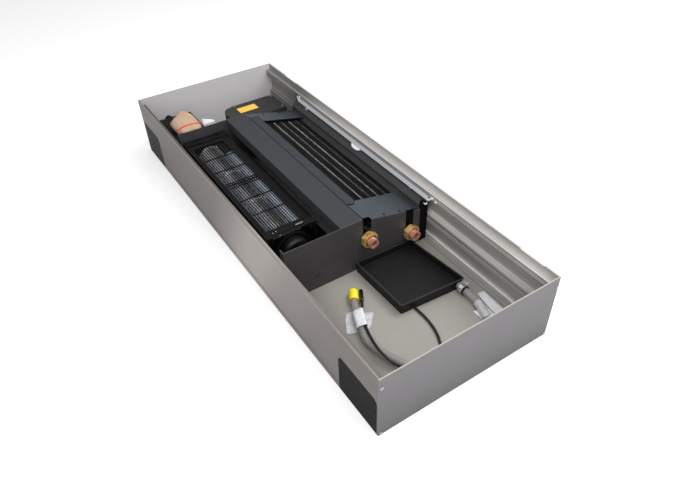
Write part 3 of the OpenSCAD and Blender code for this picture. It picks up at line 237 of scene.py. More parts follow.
def plain_finish(name, code, rough, metal=0.0, cloud=0.08, cloud_size=0.03, grain=0.0008,
                 depth=0.00004, stretch=(1, 1, 1), level=0.5, coat=0.0, tones=(), edge_light_and_wear=0.2,
                 edge_light_code="c9c8c6", rim=None):
    """Colour clouds, tones along the piece, edges lightened as wear and painted highlight, a
    wandering roughness, a fine relief.
    """
    finish = Finish(name)
    colour = tint(code)
    patches = finish.ranged(finish.clouds(cloud_size, stretch))
    shade = finish.blended(patches, scaled(colour, 1 - cloud), scaled(colour, 1 + cloud))
    for letter, stops in tones:
        shade = finish.blended(1.0, shade, finish.levels(letter, stops), "MULTIPLY")
    if rim:
        height, rim_code = rim
        top = finish.rising("Z", *[height - below for below in RIM_DEPTHS])
        shade = finish.blended(top, shade, tint(rim_code))
    # Sharp edges painted lighter: partly wear, partly painted highlight where edges catch the
    # light.
    if edge_light_and_wear:
        edges_lit_and_worn = finish.combined("MULTIPLY", finish.edges(EDGE_LIGHT_WIDTH),
                                 finish.between(patches, 0, 1, edge_light_and_wear * 0.5, edge_light_and_wear))
        shade = finish.blended(edges_lit_and_worn, shade, tint(edge_light_code))
    finish.colour(shade)
    finish.roughness(finish.ranged(finish.clouds(cloud_size * ROUGH_CLOUD_SHARE, stretch),
                                   rough - ROUGH_SPREAD, rough + ROUGH_SPREAD))
    finish.relief(finish.clouds(grain, stretch, 2.0), depth)
    finish.set(Metallic=metal, Specular_IOR_Level=level, Coat_Weight=coat)
    return finish


def clear_finish(name, code, rough, alpha, cloud, spread, cloud_size=0.01, depth=0.0001):
    """A see-through finish, whose alpha wanders by a spread."""
    finish = plain_finish(name, code, rough, cloud=cloud, cloud_size=cloud_size, edge_light_and_wear=0,
                          grain=0.003, depth=depth)
    haze = finish.clouds(cloud_size * HAZE_CLOUD_SHARE)
    finish.link(finish.ranged(haze, alpha - spread, alpha + spread),
                finish.shader.inputs["Alpha"])
    return finish


WALL_RIM = (137.3, 137.7)


def side_share(finish, side):
    """Part of a wall that a tone covers: one side of it, or all of it."""
    return 1.0 if side is None else finish.rising("Y", *side)


def wall_finish(name, code, metal, tones, rim_code):
    """Rolled aluminium: lines along the trench, tones along and up the wall that are mostly painted
    light and shade, its top edge.
    """
    finish = Finish(name)
    colour = tint(code)
    slow = finish.clouds(0.35, stretch=(1, 1, 2.5), detail=1.0)
    lines = finish.clouds(0.0012, stretch=(0.004, 1, 1), detail=4.0)
    shade = finish.blended(finish.ranged(slow), scaled(colour, 0.94), scaled(colour, 1.06))
    for letter, stops, lean, side in tones:
        level = finish.levels(letter, stops, lean)
        shade = finish.blended(side_share(finish, side), shade, level, "MULTIPLY")
    bright_lines = finish.between(lines, 0.3, 0.75, out_high=0.3)
    shade = finish.blended(bright_lines, shade, scaled(colour, 1.35))
    finish.colour(finish.blended(finish.rising("Z", *WALL_RIM), shade, tint(rim_code)))
    finish.roughness(finish.ranged(lines, 0.36, 0.52))
    finish.relief(lines, 0.00004)
    finish.set(Metallic=metal)
    return finish


# The exchanger's covers lie in one tilted plane. The fins' crests show at places up its slope, each
# with the strength of its painted glint, and the fins' tips, where the glints are painted, lie this
# far from it in metres.
COVER_PLANE = (500, 214.5, 113.7)
FIN_TILT = math.radians(12.8)
FIN_CREST_GLINTS = ((-2.2, 0.3), (18.2, 0.45), (38.6, 1.0), (59.0, 0.66), (79.4, 1.0), (99.8, 0.55))
FIN_GLINT_DEPTHS = (-0.0105, -0.0095)


def slope_place(finish):
    """Places along and above the plane of the exchanger's covers."""
    shifted = finish.mapped(shift=tuple(-c for c in spot(*COVER_PLANE)))
    tilted = finish.node("Mapping", Rotation=(FIN_TILT, 0, 0))
    finish.link(shifted, tilted.inputs["Vector"])
    split = finish.node("SeparateXYZ")
    finish.link(tilted.outputs["Vector"], split.inputs["Vector"])
    return split.outputs


def fin_finish():
    """Black coat, with painted glints in dots along the crests of the fins."""
    finish = Finish("fin_black")
    slope = slope_place(finish)
    glint_depth = finish.between(slope["Z"], *FIN_GLINT_DEPTHS)
    dots = finish.between(finish.clouds(0.0042, stretch=(1, 0.25, 1), detail=4.0), 0.3, 0.5)
    lines = finish.between(finish.clouds(0.0018, stretch=(0.02, 1, 1), detail=2.0), 0.42, 0.58)
    glints = finish.blended(finish.combined("MULTIPLY", glint_depth, dots), (0, 0, 0, 1),
                          finish.graded(slope["Y"], FIN_CREST_GLINTS))
    black = finish.blended(lines, tint("070708"), tint("2a2b2e"))
    finish.colour(finish.blended(glints, black, tint("dcd8d0")))
    finish.roughness(finish.between(dots, 0, 1, 0.35, 0.55))
    finish.relief(finish.clouds(0.0015), 0.0001)
    return finish


RAIL_BESIDE_TAB = ((178, 1.0), (417, 1.0), (419, 0.0), (453, 0.0), (455, 1.0), (686, 1.0))
# Painted shade on the rail's lower hem, below these heights.
RAIL_HEM_SHADE = (107.8, 107.2)
RAIL_TOP = (119.2, 119.6)


def rail_finish():
    """Extruded rail, painted near white partly for the light it reflects: fine lines along it, and
    painted shade along its lower hem that stops at its tab.
    """
    finish = Finish("rail_aluminium")
    lines = finish.clouds(0.0009, stretch=(0.004, 1, 1))
    bright = finish.blended(finish.ranged(lines), tint("e4e9f0"), tint("fdfdff"))
    hem_shade = finish.blended(finish.rising("Z", *RAIL_HEM_SHADE), (0, 0, 0, 1),
                         finish.levels("X", RAIL_BESIDE_TAB))
    shade = finish.blended(hem_shade, bright, tint("3c3c3e"))
    finish.colour(finish.blended(finish.rising("Z", *RAIL_TOP), shade, tint("77787b")))
    finish.roughness(finish.ranged(lines, 0.35, 0.5))
    finish.relief(lines, 0.00003)
    finish.set(Metallic=0.1)
    return finish


def copper_finish(name, code, dark, metal=0.85, rough=0.38, along=None):
    """Copper or brass: darker in patches, edges painted brighter as highlight and wear, drawn along
    its length.
    """
    finish = Finish(name)
    patches = finish.clouds(0.006, detail=5.0)
    shade = finish.blended(finish.between(patches, 0.35, 0.7), tint(dark), tint(code))
    # Edges painted lighter: painted highlight, partly wear.
    edges_lit_and_worn = finish.combined("MULTIPLY", finish.edges(0.0005), 0.5)
    shade = finish.blended(edges_lit_and_worn, shade, scaled(tint(code), 1.5))
    if along:
        shade = finish.blended(1.0, shade, finish.levels("X", along), "MULTIPLY")
    finish.colour(shade)
    finish.roughness(finish.ranged(patches, rough - 0.1, rough + 0.12))
    finish.relief(finish.clouds(0.001, stretch=(8, 1, 1)), 0.00005)
    finish.set(Metallic=metal)
    return finish


# Tones of the walls, mostly painted light and shade: the axis that they follow, stops of
# (place, grey level), how much they lean with height, and the side that they cover.
REAR_SIDE = (359.6, 358.4)
# Painted light on the front wall: lighter in its middle, darker towards both ends.
FRONT_PAINTED_LIGHT = ("X", (
    (0, 0.5), (370, 0.57), (450, 0.78), (520, 0.98), (590, 0.96), (670, 0.76), (780, 0.62),
    (1000, 0.55)), -0.6, None)
# Painted shade in the grooves near the front wall's foot: dark lines 7.4 to 8.8 and 12 to 13 mm up.
FRONT_GROOVE_SHADE = ("Z", (
    (0, 0.85), (3, 0.9), (4, 1.0), (6.6, 1.0), (7.4, 0.55), (8.8, 0.55), (9.6, 1.0), (11.4, 1.0),
    (12, 0.75), (13, 0.75), (13.8, 1.0), (138, 1.0)), 0.0, None)
# Painted light and shade up the rear wall: dark lines where its grooves and the undersides of its
# rib and seat lie in shade, bright bands where its beads and faces catch light.
REAR_LOW_PAINTED_SHADING = ("Z", (
    (0, 0.5), (7.5, 0.56), (9.6, 1.0), (14, 1.0), (18, 0.94), (21, 0.8), (25, 0.64), (46, 0.62),
    (53, 0.62), (57.6, 0.8), (58.4, 0.76), (58.8, 0.08), (61.0, 0.08), (61.4, 0.68), (66, 0.7),
    (68, 0.9), (73, 1.0), (79, 0.74), (84, 0.68), (91, 0.68), (94, 0.75), (97, 0.77), (108, 1.0),
    (138, 1.0)), 0.0, REAR_SIDE)
REAR_HIGH_PAINTED_SHADING = ("Z", (
    (0, 1.0), (97, 1.0), (108, 0.7), (109.6, 0.12), (111.4, 0.12), (111.9, 0.72), (114, 0.78),
    (118, 0.82), (120, 0.68), (121.6, 0.68), (123, 0.78), (123.9, 0.77), (125, 0.86), (137, 0.68),
    (138, 0.68)), 0.0, REAR_SIDE)
# Painted shade on the rear wall towards the far end, where the low wall lies in shadow.
REAR_FAR_SHADE = ("X", (
    (0, 0.62), (150, 0.5), (190, 0.6), (260, 0.9), (400, 1.0), (1000, 1.0)), 0.0, REAR_SIDE)
REAR_BACK = ("Y", ((340, 1.0), (358.4, 1.0), (359.6, 0.72), (360, 0.72)), 0.0, None)

# Tones of the other pieces, many of them painted light and shade: the axis, and stops of (place,
# grey level).
# Painted light and shade on the end panels: the near one lighter towards its top and its rear side,
# the far one darker towards the front wall.
NEAR_PANEL_PAINTED_SHADE = (("Z", ((0, 0.84), (138, 1.0))), ("Y", ((0, 0.96), (360, 1.02))))
FAR_PANEL_PAINTED_SHADE = (("Y", ((0, 0.94), (360, 1.0))),)
# Painted shade on the floor: darker towards the front wall, which shades it.
FLOOR_PAINTED_SHADE = (("Y", ((0, 0.7), (60, 0.82), (110, 1.0), (360, 1.0))),)
ENTRY_TONES = (("X", ((0, 1.0), (200, 1.0), (800, 0.6), (1000, 0.6))),)
RAIL_LINES = (("Y", (
    (25, 0.5), (29, 0.5), (30, 1.0), (33, 1.0), (34, 0.4), (36, 0.4), (37, 1.0), (113, 1.0),
    (114, 0.35), (116, 0.35), (117, 1.0), (121, 1.0), (122, 0.5), (124, 0.5), (125, 0.9),
    (128, 0.9))),)
SLATE_TONES = (("Y", ((196, 1.05), (260, 1.0), (329, 0.62))),)
# Painted shade on the vortex tongue: dark beyond 117 mm from the front face.
TONGUE_PAINTED_SHADE = (("Y", ((60, 1.0), (113, 1.0), (117, 0.15), (200, 0.15))),)
# Painted shade on the control lid: darker towards its rear end.
LID_PAINTED_SHADE = (("Y", ((172, 1.05), (250, 0.85), (308, 0.6))),)
# Painted shade at the foot of the drip tray, darkest by the floor.
TRAY_FOOT_SHADE = (("Z", ((3, 0.45), (8, 0.7), (24, 1.0))),)
# Painted shade on the packet: darker towards its foot.
PACKET_FOOT_SHADE = (("Z", ((88, 0.72), (97, 0.95), (104, 1.0))),)
# Painted shade on the copper stubs: near black behind the near bulkhead.
STUB_SHADE_BEHIND_BULKHEAD = ((600, 0.12), (678.6, 0.12), (679.6, 1.0), (740, 1.0))

FINISHES = {
    "front_wall": wall_finish(
        "front_wall_metal", "a79f9b", 0.3, (FRONT_PAINTED_LIGHT, FRONT_GROOVE_SHADE), "88837e"),
    "rear_wall": wall_finish(
        "rear_wall_metal", "e6e1dd", 0.2, (REAR_LOW_PAINTED_SHADING, REAR_HIGH_PAINTED_SHADING, REAR_FAR_SHADE, REAR_BACK), "aaa7a3"),
    # The two end panels are one aluminium. The near one is a darker, shaded copy and the far one a
    # lighter, lit copy. The near one's lighter rim is a painted highlight on its top edge.
    "near_panel": plain_finish(
        "near_panel_metal_shaded", "817f81", 0.5, cloud=0.03, cloud_size=0.25, grain=0.0006, level=0.3,
        tones=NEAR_PANEL_PAINTED_SHADE, rim=(TRENCH_HEIGHT, "a8a49c"), edge_light_and_wear=0.15),
    "far_panel": plain_finish(
        "far_panel_metal_lit", "cbc9ca", 0.5, cloud=0.02, cloud_size=0.2, grain=0.0006, level=0.3,
        tones=FAR_PANEL_PAINTED_SHADE, rim=(TRENCH_HEIGHT, "96938f"), edge_light_and_wear=0.1),
    "floor": plain_finish(
        "floor_metal", "9a9791", 0.45, metal=0.1, cloud=0.04, cloud_size=0.12, tones=FLOOR_PAINTED_SHADE),
    "zinc": plain_finish("zinc_screw", "bcbdbf", 0.3, metal=0.8, cloud_size=0.002),
    "entry": plain_finish(
        "entry_plastic", "3b3b3e", 0.75, cloud=0.06, grain=0.0006, depth=0.00008, level=0.15,
        edge_light_and_wear=0.25, tones=ENTRY_TONES),
    "bulkhead": plain_finish(
        "bulkhead_coat", "3f3d3f", 0.5, cloud=0.1, cloud_size=0.05, grain=0.0005, depth=0.00008,
        level=0.35),
    "dark_sheet": plain_finish(
        "dark_sheet_coat", "0d0d0e", 0.6, cloud=0.1, grain=0.0005, depth=0.00006, level=0.15,
        edge_light_and_wear=0.05),
    "casing": plain_finish(
        "casing_coat", "2f2f30", 0.55, cloud=0.1, grain=0.0005, depth=0.00006, level=0.2),
    "rail_black": plain_finish(
        "fan_rail_coat", "0b0c0f", 0.45, cloud=0.1, grain=0.0005, depth=0.00006, level=0.15,
        tones=RAIL_LINES, edge_light_and_wear=0.12),
    "centre": plain_finish(
        "centre_cover_coat", "383a3e", 0.65, cloud=0.06, cloud_size=0.08, grain=0.0005,
        depth=0.00008, level=0.25),
    "fascia": plain_finish(
        "strip_cover_coat", "363a3f", 0.62, cloud=0.06, cloud_size=0.06, grain=0.0005,
        depth=0.00006, level=0.25),
    "slate": plain_finish(
        "slate_cover_coat", "3c424a", 0.5, cloud=0.06, cloud_size=0.06, grain=0.0005, depth=0.00005,
        level=0.4, tones=SLATE_TONES),
    "dark_screw": plain_finish("dark_screw", "343639", 0.3, metal=0.6),
    "baffle": plain_finish(
        "baffle_coat", "3d3d3f", 0.55, cloud_size=0.06, grain=0.0005, depth=0.00006, level=0.3),
    "rail": rail_finish(),
    "fins": fin_finish(),
    "end_plate": plain_finish("end_plate_metal", "242527", 0.5, metal=0.3, level=0.2),
    "pipe": copper_finish("pipe_dark", "3a2b24", "16110f", 0.5, 0.5),
    "copper": copper_finish("stub_copper", "e0ab93", "a8705a", 0.35, 0.36, STUB_SHADE_BEHIND_BULKHEAD),
    "brass": copper_finish("nut_brass", "ffdc94", "c4934b", 0.55, 0.24),
    "fan_black": plain_finish(
        "fan_black_plastic", "0a0b0d", 0.42, cloud=0.1, grain=0.0006, level=0.18, edge_light_and_wear=0.16),
    "guard": plain_finish("guard_plastic", "07080a", 0.32, level=0.18, edge_light_and_wear=0.03),
    # The tongue's pale blue-grey stands in for the sheen of a softbox on it: painted reflection.
    "tongue": plain_finish(
        "tongue_metal", "b4c0cf", 0.34, metal=0.35, cloud=0.06, stretch=(0.1, 1, 1),
        tones=TONGUE_PAINTED_SHADE, edge_light_and_wear=0.0),
    # The blades' pale colour and their white edges are painted light on blades that sit in the dark
    # of the scroll.
    "blades": plain_finish(
        "blade_aluminium", "a8aaae", 0.3, metal=0.15, cloud=0.25, cloud_size=0.01, edge_light_and_wear=0.9,
        edge_light_code="ffffff"),
    "steel": plain_finish("ground_steel", "b9bbbe", 0.25, metal=0.95, stretch=(0.2, 1, 1)),
    # White tabs: on the impeller, painted glints of the blade ends; on the rail, its white spring
    # clips.
    "white_tab": plain_finish("white_tab_coat", "ffffff", 0.35, cloud=0.06, cloud_size=0.004, edge_light_and_wear=0.0),
    "peg": plain_finish("guard_peg_grey", "8b8d90", 0.4, cloud_size=0.004, edge_light_and_wear=0.1),
    "latch": plain_finish("latch_grey", "6d7379", 0.4, cloud_size=0.004, edge_light_and_wear=0.1),
    "bronze": copper_finish("bearing_bronze", "9c8350", "5f4d2a"),
    "foam": plain_finish(
        "seal_foam", "0b0b0c", 0.9, cloud=0.3, cloud_size=0.003, grain=0.0012, depth=0.0004,
        level=0.1, edge_light_and_wear=0.0),
    "rubber": plain_finish(
        "black_rubber", "0e0e0f", 0.6, cloud=0.15, cloud_size=0.004, level=0.2, edge_light_and_wear=0.05),
    "motor": plain_finish("motor_coat", "0e0e0f", 0.4, cloud=0.1, level=0.3, edge_light_and_wear=0.05),
    "case": plain_finish(
        "case_plastic", "1f1f20", 0.55, cloud_size=0.04, grain=0.0007, depth=0.0001, level=0.25,
        edge_light_and_wear=0.1),
    "lid": plain_finish(
        "lid_plastic", "343433", 0.5, cloud_size=0.05, grain=0.0007, depth=0.0001, level=0.3,
        tones=LID_PAINTED_SHADE),
    "box": plain_finish(
        "terminal_plastic", "14120f", 0.6, cloud=0.1, cloud_size=0.04, grain=0.0007, depth=0.0001,
        level=0.2, edge_light_and_wear=0.08),
    "case_screw": plain_finish("case_screw_metal", "8a8a88", 0.35, metal=0.7, edge_light_and_wear=0.1),
    "yellow": plain_finish("sticker_yellow", "f8c243", 0.5, cloud=0.03, edge_light_and_wear=0.05),
    # The tray's lighter rim is a painted highlight on its top edge.
    "tray": plain_finish(
        "tray_plastic", "151618", 0.5, cloud=0.12, cloud_size=0.05, grain=0.0007, depth=0.00008,
        level=0.3, edge_light_and_wear=0.16, rim=(25.4, "343536"), tones=TRAY_FOOT_SHADE),
    "clamp": plain_finish("clamp_steel", "f4f5f6", 0.24, metal=0.75, cloud=0.1, cloud_size=0.003),
    "hose": clear_finish(
        "hose_plastic", "b0abab", 0.14, 0.34, cloud=0.03, spread=0.01, cloud_size=0.03,
        depth=0.00001),
    "cap": plain_finish(
        "cap_yellow", "f7df1a", 0.3, cloud=0.04, cloud_size=0.006, coat=0.3, edge_light_and_wear=0.08),
    "plug": plain_finish("cap_plug", "f2a23c", 0.35, cloud=0.1, cloud_size=0.003, edge_light_and_wear=0.0),
    "cable": plain_finish("cable_jacket", "131314", 0.42, cloud=0.1, cloud_size=0.004, edge_light_and_wear=0.0),
    "sensor": plain_finish(
        "sensor_sleeve", "151416", 0.2, cloud=0.1, cloud_size=0.004, coat=0.4, edge_light_and_wear=0.0),
    "wrap": clear_finish("wrap_film", "f2f2f6", 0.3, 0.84, cloud=0.05, spread=0.08),
    "film": clear_finish("label_film", "e6e8ec", 0.3, 0.45, cloud=0.06, spread=0.1),
    "label": clear_finish("floor_label_film", "f2f2f5", 0.4, 0.86, cloud=0.04, spread=0.1),
    "tag": clear_finish("hose_tag_film", "eeeef2", 0.3, 0.4, cloud=0.05, spread=0.12),
    "paper": plain_finish("sheet_paper", "e3e2e0", 0.7, cloud=0.04, cloud_size=0.01, edge_light_and_wear=0.0),
    "packet": plain_finish(
        "packet_paper", "bfa48a", 0.85, cloud_size=0.009, stretch=(0.2, 1, 1), grain=0.0016,
        depth=0.0004, level=0.15, edge_light_and_wear=0.05, tones=PACKET_FOOT_SHADE),
    "band": plain_finish("band_rubber", "d8504a", 0.4, cloud=0.06, cloud_size=0.004, edge_light_and_wear=0.0),
}

NODE_FINISH = {
    "front_wall": "front_wall", "rear_wall": "rear_wall", "near_end_panel": "near_panel",
    "far_end_panel": "far_panel", "floor_pan": "floor", "end_panel_screws": "zinc",
    "near_entry_cover": "entry", "far_entry_cover": "entry", "near_bulkhead": "bulkhead",
    "far_bulkhead": "bulkhead", "centre_cover": "centre", "strip_cover": "fascia",
    "near_exchanger_cover": "slate", "far_exchanger_cover": "slate",
    "cover_screws": "dark_screw", "exchanger_side": "casing", "baffle": "baffle",
    "baffle_rail": "rail", "rail_screws": "zinc", "fin_pack": "fins",
    "exchanger_end_plates": "end_plate", "exchanger_tubes": "pipe", "return_bends": "pipe",
    "flow_stub": "copper", "return_stub": "copper", "flow_nut": "brass", "return_nut": "brass",
    "fan_scroll": "dark_sheet", "vortex_tongue": "tongue", "front_fan_rail": "rail_black",
    "rear_fan_rail": "rail_black", "far_fan_end": "fan_black", "near_fan_end": "fan_black",
    "far_guard": "guard", "near_guard": "guard", "impeller": "blades", "fan_shaft": "steel",
    "fan_bearing": "bronze", "bearing_ring": "rubber", "motor_housing": "motor",
    "motor_bracket": "fan_black", "motor_rotor": "steel", "control_box": "case",
    "control_lid": "lid", "control_sticker": "yellow", "terminal_box": "box",
    "terminal_lid": "box", "case_screws": "case_screw", "drip_tray": "tray",
    "hose_clamp": "clamp", "condensate_hose": "hose", "hose_cap": "cap",
    "sensor_cable": "cable", "sensor_head": "sensor", "cable_grommet": "rubber",
    "wrap_label": "wrap", "floor_labels": "label", "accessory_packet": "packet",
    "packet_band": "band", "folded_paper": "paper",
}


def finish_nodes():
    for node, key in NODE_FINISH.items():
        piece = NODES[node]
        piece.data.materials.clear()
        piece.data.materials.append(FINISHES[key].material)


# ---- making pieces ----

EDGE_ANGLE = 40
CURVE_STEPS = 6


def add_piece(name, mesh_data, key, body="trench", replaces=()):
    piece = linked(name, mesh_data)
    mesh_data.materials.append(FINISHES[key].material)
    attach(piece, body)
    if replaces:
        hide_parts(*replaces)
    return piece


def piece_from(name, bm, key, body="trench", replaces=(), sharp=35):
    """Turns a finished bmesh into a piece, smooth but for edges sharper than the given angle."""
    bmesh.ops.recalc_face_normals(bm, faces=bm.faces[:])
    mesh_data = bpy.data.meshes.new(name)
    bm.to_mesh(mesh_data)
    bm.free()
    mesh_data.shade_smooth()
    mesh_data.set_sharp_from_angle(angle=math.radians(sharp))
    return add_piece(name, mesh_data, key, body, replaces)


def given_wall(piece, thick, offset=-1.0):
    """Gives a skin its thickness: inwards (-1), outwards (1) or half each way (0)."""
    wall = piece.modifiers.new("wall", "SOLIDIFY")
    wall.thickness = thick * MM
    wall.offset = offset


def rounded(piece, width):
    edge = piece.modifiers.new("edge", "BEVEL")
    edge.width = width * MM
    edge.segments = 2
    edge.limit_method = "ANGLE"
    edge.angle_limit = math.radians(EDGE_ANGLE)


def line_curve(name, points, radius, caps):
    curve = bpy.data.curves.new(name, "CURVE")
    curve.dimensions = "3D"
    curve.bevel_depth = radius * MM
    curve.bevel_resolution = CURVE_STEPS
    curve.resolution_u = CURVE_STEPS
    curve.use_fill_caps = caps
    line = curve.splines.new("BEZIER")
    line.bezier_points.add(len(points) - 1)
    for knot, place in zip(line.bezier_points, points):
        knot.co = place
        knot.handle_left_type = "AUTO"
        knot.handle_right_type = "AUTO"
    return curve


def tube(name, points, radius, wall, key, replaces=()):
    """Open tube: a round line made a mesh and given its wall."""
    curve = line_curve(name + "_line", points, radius, False)
    pattern = linked(name + "_line", curve)
    bpy.context.view_layer.update()
    seen = pattern.evaluated_get(bpy.context.evaluated_depsgraph_get())
    mesh_data = bpy.data.meshes.new_from_object(seen)
    bpy.data.objects.remove(pattern)
    bpy.data.curves.remove(curve)
    mesh_data.name = name
    mesh_data.shade_smooth()
    piece = add_piece(name, mesh_data, key, replaces=replaces)
    given_wall(piece, wall)
    return piece


def only(kind, parts):
    return [part for part in parts if isinstance(part, kind)]


def closed_ring(bm, places):
    """Points joined round into a ring of edges."""
    ring = [bm.verts.new(place) for place in places]
    return ring, [bm.edges.new((p, q)) for p, q in zip(ring, ring[1:] + ring[:1])]


def cut_finer(bm, cuts, edges=None):
    bmesh.ops.subdivide_edges(bm, edges=edges or bm.edges[:], cuts=cuts, use_grid_fill=True)


def merge_into(bm, made):
    part = bpy.data.meshes.new("part")
    made.to_mesh(part)
    made.free()
    bm.from_mesh(part)
    bpy.data.meshes.remove(part)


def turned(bm, profile, start, along, steps=40):
    """Turns a profile of (radius, length) pairs, in millimetres, round a line from the start."""
    made = bmesh.new()
    knots = [made.verts.new((r * MM, 0, l * MM)) for r, l in profile]
    for p, q in zip(knots, knots[1:]):
        made.edges.new((p, q))
    bmesh.ops.spin(made, geom=made.verts[:] + made.edges[:], cent=(0, 0, 0), axis=(0, 0, 1),
                   angle=math.tau, steps=steps, use_merge=True, use_duplicate=False)
    bmesh.ops.remove_doubles(made, verts=made.verts[:], dist=1e-6)
    bmesh.ops.recalc_face_normals(made, faces=made.faces[:])
    turn = Vector(along).to_track_quat("Z", "Y").to_matrix().to_4x4()
    bmesh.ops.transform(made, matrix=Matrix.Translation(start) @ turn, verts=made.verts[:])
    merge_into(bm, made)


def block(bm, size, place, bevel=0.3):
    """A bar with rounded edges, sized in millimetres and put at a point of the frame."""
    made = bmesh.new()
    bmesh.ops.create_cube(made, size=1.0)
    bmesh.ops.scale(made, vec=tuple(s * MM for s in size), verts=made.verts[:])
    bmesh.ops.bevel(made, geom=made.edges[:], offset=bevel * MM, segments=1, profile=0.5,
                    affect="EDGES", material=-1)
    bmesh.ops.translate(made, verts=made.verts[:], vec=place)
    merge_into(bm, made)


# ---- hose and cable ----

HOSE_LOW = 10.9
HOSE_ON_FLOOR = [
    (212, 40.5), (226, 44), (240, 49), (257, 60), (272, 74), (284, 92), (291, 113), (294, 135),
    (294, 155), (292, 173), (287, 190), (279, 205), (268, 217.5), (255, 227.5), (241, 235),
    (228, 241), (216, 246), (202, 251.5), (188, 255.5), (174, 257.5), (160, 256.5), (146, 253),
    (132, 248), (118, 242.5), (104, 236.5),
]
HOSE_ROUTE = [
    (155, 40, 14.9), (163, 40, 14.9), (172, 40, 14.9), (184, 39, 13.2), (198, 39, 11.4),
    *[(*place, HOSE_LOW) for place in HOSE_ON_FLOOR],
    (91, 231, 11.3), (79, 225.8, 12), (67, 218.6, 12), (55, 211.4, 12),
]
CABLE_ROUTE = [
    (0, 138.5, 5.3), (12, 138.5, 5.3), (42, 138.5, 5.3), (82, 138.5, 5.3), (122, 138.5, 5.3),
    (150, 138, 5.3), (169, 137.2, 5.3), (188, 138.2, 5.3), (207, 141.5, 5.3), (223, 146.5, 5.3),
    (239, 154, 5.3), (254, 160.5, 5.6), (265, 164.5, 6.8), (273.5, 170.5, 9.8), (278.5, 179, 15),
    (280.5, 190, 20), (278, 204.5, 22), (271.5, 221, 21), (261, 235, 17.6), (251, 242.5, 15),
    (240, 247.5, 14), (228.5, 251.8, 15), (216, 254.8, 18), (203, 257, 20.6), (190, 256.6, 21.6),
    (179, 254.8, 21.6), (169, 252.6, 21), (157, 249.5, 20), (145, 245.4, 18.8),
    (132, 240.2, 18.6), (118, 234.6, 18.6), (104.9, 228.9, 18.6), (98.5, 221.3, 16),
    (91, 216.5, 14.6),
]
HOSE_RADIUS = 7.5
HOSE_WALL = 1.8
CABLE_RADIUS = 2.5
CAP_TURN = math.radians(149)
CAP_OUTSIDE = [(0, 1.6), (7.2, 1.6), (8.5, 1.2), (9.1, 0.2), (9.2, -1.5), (9.2, -20.4),
               (8.95, -20.8), (8.95, -21.4), (9.2, -21.8), (9.2, -23.5), (8.9, -24)]
CAP_INSIDE = [(8.0, -24), (7.75, -23.6), (7.75, 0.2), (0, 0.2)]
CAP_PLUG = [(0, -24.4), (4.6, -24.4), (5.3, -24.0), (5.45, -23.2), (5.45, -2.0), (5.0, -1.4),
            (0, -1.4)]
HEAD_FROM, HEAD_TO = (91, 216.5, 14.6), (55, 195, 7.3)


def lay_lines():
    hose_points = [bay_spot(p) for p in HOSE_ROUTE]
    cable_points = [bay_spot(p) for p in CABLE_ROUTE]
    hose = tube("clear_hose", hose_points, HOSE_RADIUS, HOSE_WALL, "hose",
                ("condensate_hose",))
    cable = add_piece("sensor_lead", line_curve("sensor_lead", cable_points, CABLE_RADIUS, True),
                      "cable", replaces=("sensor_cable",))
    cap = add_cap(hose_points[-1])
    head = add_sensor_head()


def add_cap(end):
    """Push-on cap with a rolled mouth, and its plug, which shows through the hose."""
    along = (math.cos(CAP_TURN), math.sin(CAP_TURN), 0)
    bm = bmesh.new()
    turned(bm, CAP_OUTSIDE + CAP_INSIDE, end, along, 48)
    cap = piece_from("yellow_cap", bm, "cap", replaces=("hose_cap",))
    bm = bmesh.new()
    turned(bm, CAP_PLUG, end, along)
    return [cap, piece_from("cap_plug", bm, "plug")]


def add_sensor_head():
    """Sensor in its sleeve: a neck on the cable, a groove, and a rounded end."""
    start, end = bay_spot(HEAD_FROM), bay_spot(HEAD_TO)
    length = (end - start).length / MM
    profile = [(0, 0.2), (2.55, 0.2), (2.7, 1.2), (2.6, 4.5), (2.95, 6), (3.9, 8.6), (4.2, 9.4),
               (4.2, 12), (4.05, 12.5), (4.2, 13), (4.2, length - 4.2), (4.05, length - 3),
               (3.6, length - 1.9), (2.8, length - 0.9), (1.5, length - 0.2), (0, length)]
    bm = bmesh.new()
    turned(bm, profile, start, end - start)
    return [piece_from("sensor_sleeve", bm, "sensor", replaces=("sensor_head",))]


# ---- film wrapped round hose and cable, and labels ----

WRAP_START = (101.7, 235.2, 0)
WRAP_TURN = math.radians(-22.5)
WRAP_POINTS = 56
WRAP_STEPS, WRAP_STEP = 10, 4.1
WRAP_ROUNDS = ((0, HOSE_LOW, HOSE_RADIUS + 0.95), (7.1, 18.7, CABLE_RADIUS + 0.95))
WRAP_MIDDLE = (0, 3.0, 13.5)
WRAP_LIFT, WRAP_LEAST_LIFT = 0.4, 0.35
WRAP_SWELL, WRAP_CREASE = 0.35, 0.55
CREASE_LENGTH, CREASE_WIDTH = 0.016, 0.004
WRAP_THICK = 0.25
WRAP_FLAGS = (
    ((-11, -2.5), (-10.6, -18.6), (11, -23.7), (40, -26.6), (42, -10.7), (41, -2.5)),
    ((-5, 2.5), (-4.4, 16.6), (-1.2, 31.3), (29.6, 19.9), (35.2, 13.4), (36, 2.5)),
)
FLAG_WAVE = 1.6
FILM_THICK = 0.2
FILM_CUTS = (3, 1)
FILM_WAVE_LENGTH = 0.014
LABEL_CORNERS = (
    ((183, 17.5), (185, 2.5), (242, 5), (243, 25), (220, 24)),
    ((213, 55), (216, 26.4), (244, 27.4), (241, 55)),
)
LABEL_LIFT, LABEL_WAVE = 0.15, 0.7
TAG_ROUTE = ((206, 40.0, 11.1), (213, 40.7, HOSE_LOW), (226, 44, HOSE_LOW), (240, 49, HOSE_LOW),
             (246, 52.6, HOSE_LOW))
TAG_GAP = 0.4


